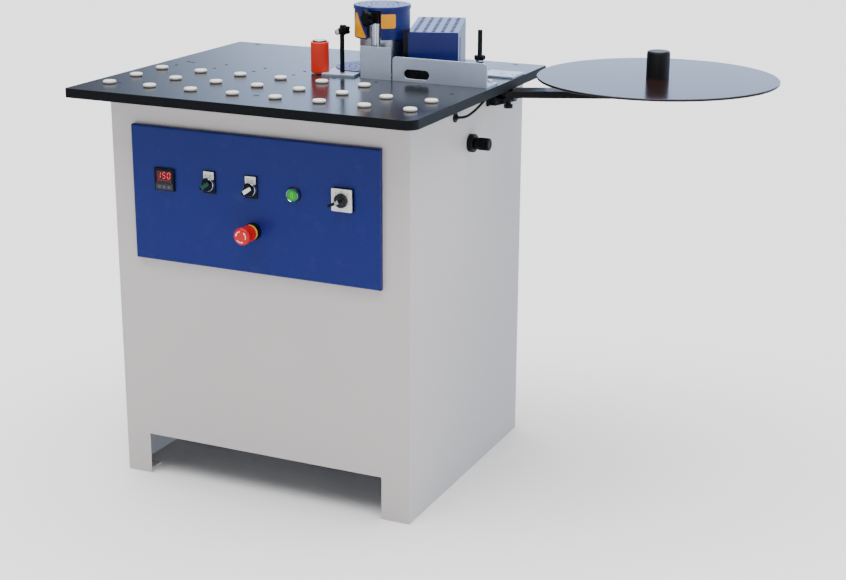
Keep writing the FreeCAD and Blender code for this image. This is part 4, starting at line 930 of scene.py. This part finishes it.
COVER_TURN = math.radians(19.3)
COVER_CORNER = (0.1915, 0.025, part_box("motor_cover")[1].z)
cover_front = (math.cos(COVER_TURN), math.sin(COVER_TURN), 0)
cover_side = (-math.sin(COVER_TURN), math.cos(COVER_TURN), 0)
# a black sheet under the cover's slots, standing in for the shade inside: painted shade
COVER_SHADE_SHEET = [(2, 2), (106, 2), (106, 236), (2, 236)]
piece("cover_shade_sheet", slab(COVER_SHADE_SHEET, -4.0, -1.9), spot(COVER_CORNER, (cover_front, cover_side)),
      "machine", "black_plastic", finish=black_edging_and_painted_shade)

# ---------------------------------------------------------------- black angle piece on the motor cover, its long bar partly painted shade of the gap beside the cover

angle_arm = moved(slab(rounded_rectangle(14, 4.6, 0.8), -1.0, 1.8, 0.3), (-2.9, 2.6, 0))
# the long black bar also paints the dark shaded gap between the pot cover and the motor cover
angle_bar_and_gap_shade = moved(slab(rounded_rectangle(10.4, 98, 1.0), -1.0, 1.8, 0.3), (-4.9, -48, 0))
piece("cover_angle_and_gap_shade", joined(angle_arm, angle_bar_and_gap_shade), spot(COVER_CORNER, (cover_front, (0, 0, 1))), "machine",
      "black_steel")

# ---------------------------------------------------------------- stage and light


def build_stage():
    """A plain pale floor."""
    shape = bmesh.new()
    bmesh.ops.create_grid(shape, x_segments=1, y_segments=1, size=30)
    mesh = bpy.data.meshes.new("floor")
    shape.to_mesh(mesh)
    shape.free()
    mesh.materials.append(surface("floor_paint", (0.76, 0.76, 0.76), 0.9, mottle=0.004, mottle_scale=0.5,
                                  grain_depth=0.0, specular=0.0))
    floor = placed("floor", mesh)
    floor.visible_glossy = False


def panel_light(name, place, target, width, height, power):
    """A soft rectangular light aimed at a point."""
    data = bpy.data.lights.new(name, "AREA")
    data.shape = "RECTANGLE"
    data.size = width
    data.size_y = height
    data.energy = power
    light = placed(name, data)
    light.location = place
    aim = Vector(target) - Vector(place)
    light.rotation_mode = "QUATERNION"
    light.rotation_quaternion = aim.to_track_quat("-Z", "Y")
    light.visible_camera = False


# brightness by height: 0 is straight down, 0.5 the horizon and 1 straight up
REAR_SKY = ((0.0, (0.10, 0.12, 0.15)), (0.47, (0.14, 0.17, 0.21)), (0.50, (0.34, 0.39, 0.50)),
            (0.568, (0.34, 0.39, 0.50)), (0.583, (0.145, 0.20, 0.32)), (0.605, (0.135, 0.19, 0.30)),
            (0.66, (0.035, 0.04, 0.05)), (0.86, (0.04, 0.04, 0.041)), (0.95, (1, 1, 1)))
LEFT_REAR_SKY = ((0.0, (0.08, 0.09, 0.11)), (0.50, (0.04, 0.046, 0.056)), (0.65, (0.015, 0.016, 0.018)),
                 (0.86, (0.04, 0.04, 0.041)), (0.95, (1, 1, 1)))
FRONT_SKY = ((0.0, (0.09, 0.105, 0.13)), (0.47, (0.09, 0.105, 0.13)), (0.53, (0.035, 0.039, 0.046)),
             (0.68, (0.030, 0.031, 0.034)), (0.86, (0.06, 0.06, 0.06)), (0.95, (1, 1, 1)))
SKY_STRENGTH = 8.0


def sky_ramp(tree, height, stops):
    """Brightness of the surroundings by height above the horizon."""
    ramp = tree.nodes.new("ShaderNodeValToRGB")
    ramp.color_ramp.interpolation = "LINEAR"
    elements = ramp.color_ramp.elements
    while len(elements) < len(stops):
        elements.new(0.5)
    for element, (level, colour) in zip(elements, stops):
        element.position = level
        element.color = (*colour, 1)
    tree.links.new(height, ramp.inputs["Fac"])
    return ramp.outputs["Color"]


def mixed(tree, factor, first, second):
    """One colour blended into another."""
    blend = tree.nodes.new("ShaderNodeMix")
    blend.data_type = "RGBA"
    tree.links.new(factor, blend.inputs["Factor"])
    tree.links.new(first, blend.inputs["A"])
    tree.links.new(second, blend.inputs["B"])
    return blend.outputs["Result"]


def smooth_share(tree, value, low, high):
    """A share that runs smoothly from 0 to 1 between two values."""
    share = carried(tree, value, low, high)
    share.interpolation_type = "SMOOTHSTEP"
    return share.outputs["Result"]


def light_world():
    """Soft light from above; a pale low band behind, dimmer to the left, and little light in front."""
    world = bpy.data.worlds.new("studio")
    world.use_nodes = True
    bpy.context.scene.world = world
    tree = world.node_tree
    background = tree.nodes["Background"]
    where = tree.nodes.new("ShaderNodeTexCoord")
    split = tree.nodes.new("ShaderNodeSeparateXYZ")
    tree.links.new(where.outputs["Generated"], split.inputs["Vector"])
    height = carried(tree, split.outputs["Z"], -1, 1).outputs["Result"]
    behind = smooth_share(tree, split.outputs["Y"], -0.25, 0.15)
    leftward = smooth_share(tree, split.outputs["X"], -0.44, -0.60)
    rear = mixed(tree, leftward, sky_ramp(tree, height, REAR_SKY), sky_ramp(tree, height, LEFT_REAR_SKY))
    tree.links.new(mixed(tree, behind, sky_ramp(tree, height, FRONT_SKY), rear), background.inputs["Color"])
    background.inputs["Strength"].default_value = SKY_STRENGTH


build_stage()
light_world()
panel_light("left_light", (-2.6, -4.2, 2.6), (0, 0, 0.6), 1.6, 1.6, 14)
panel_light("right_light", (4.2, -1.6, 2.6), (0.3, 0, 0.6), 1.6, 1.6, 3)
panel_light("right_strip", (3.09, -1.14, 0.8), (0.12, 0.03, 0.9), 1.1, 1.6, 3)
panel_light("front_strip", (1.0, -3.0, 0.8), (0.12, 0.03, 0.9), 0.7, 1.6, 6)
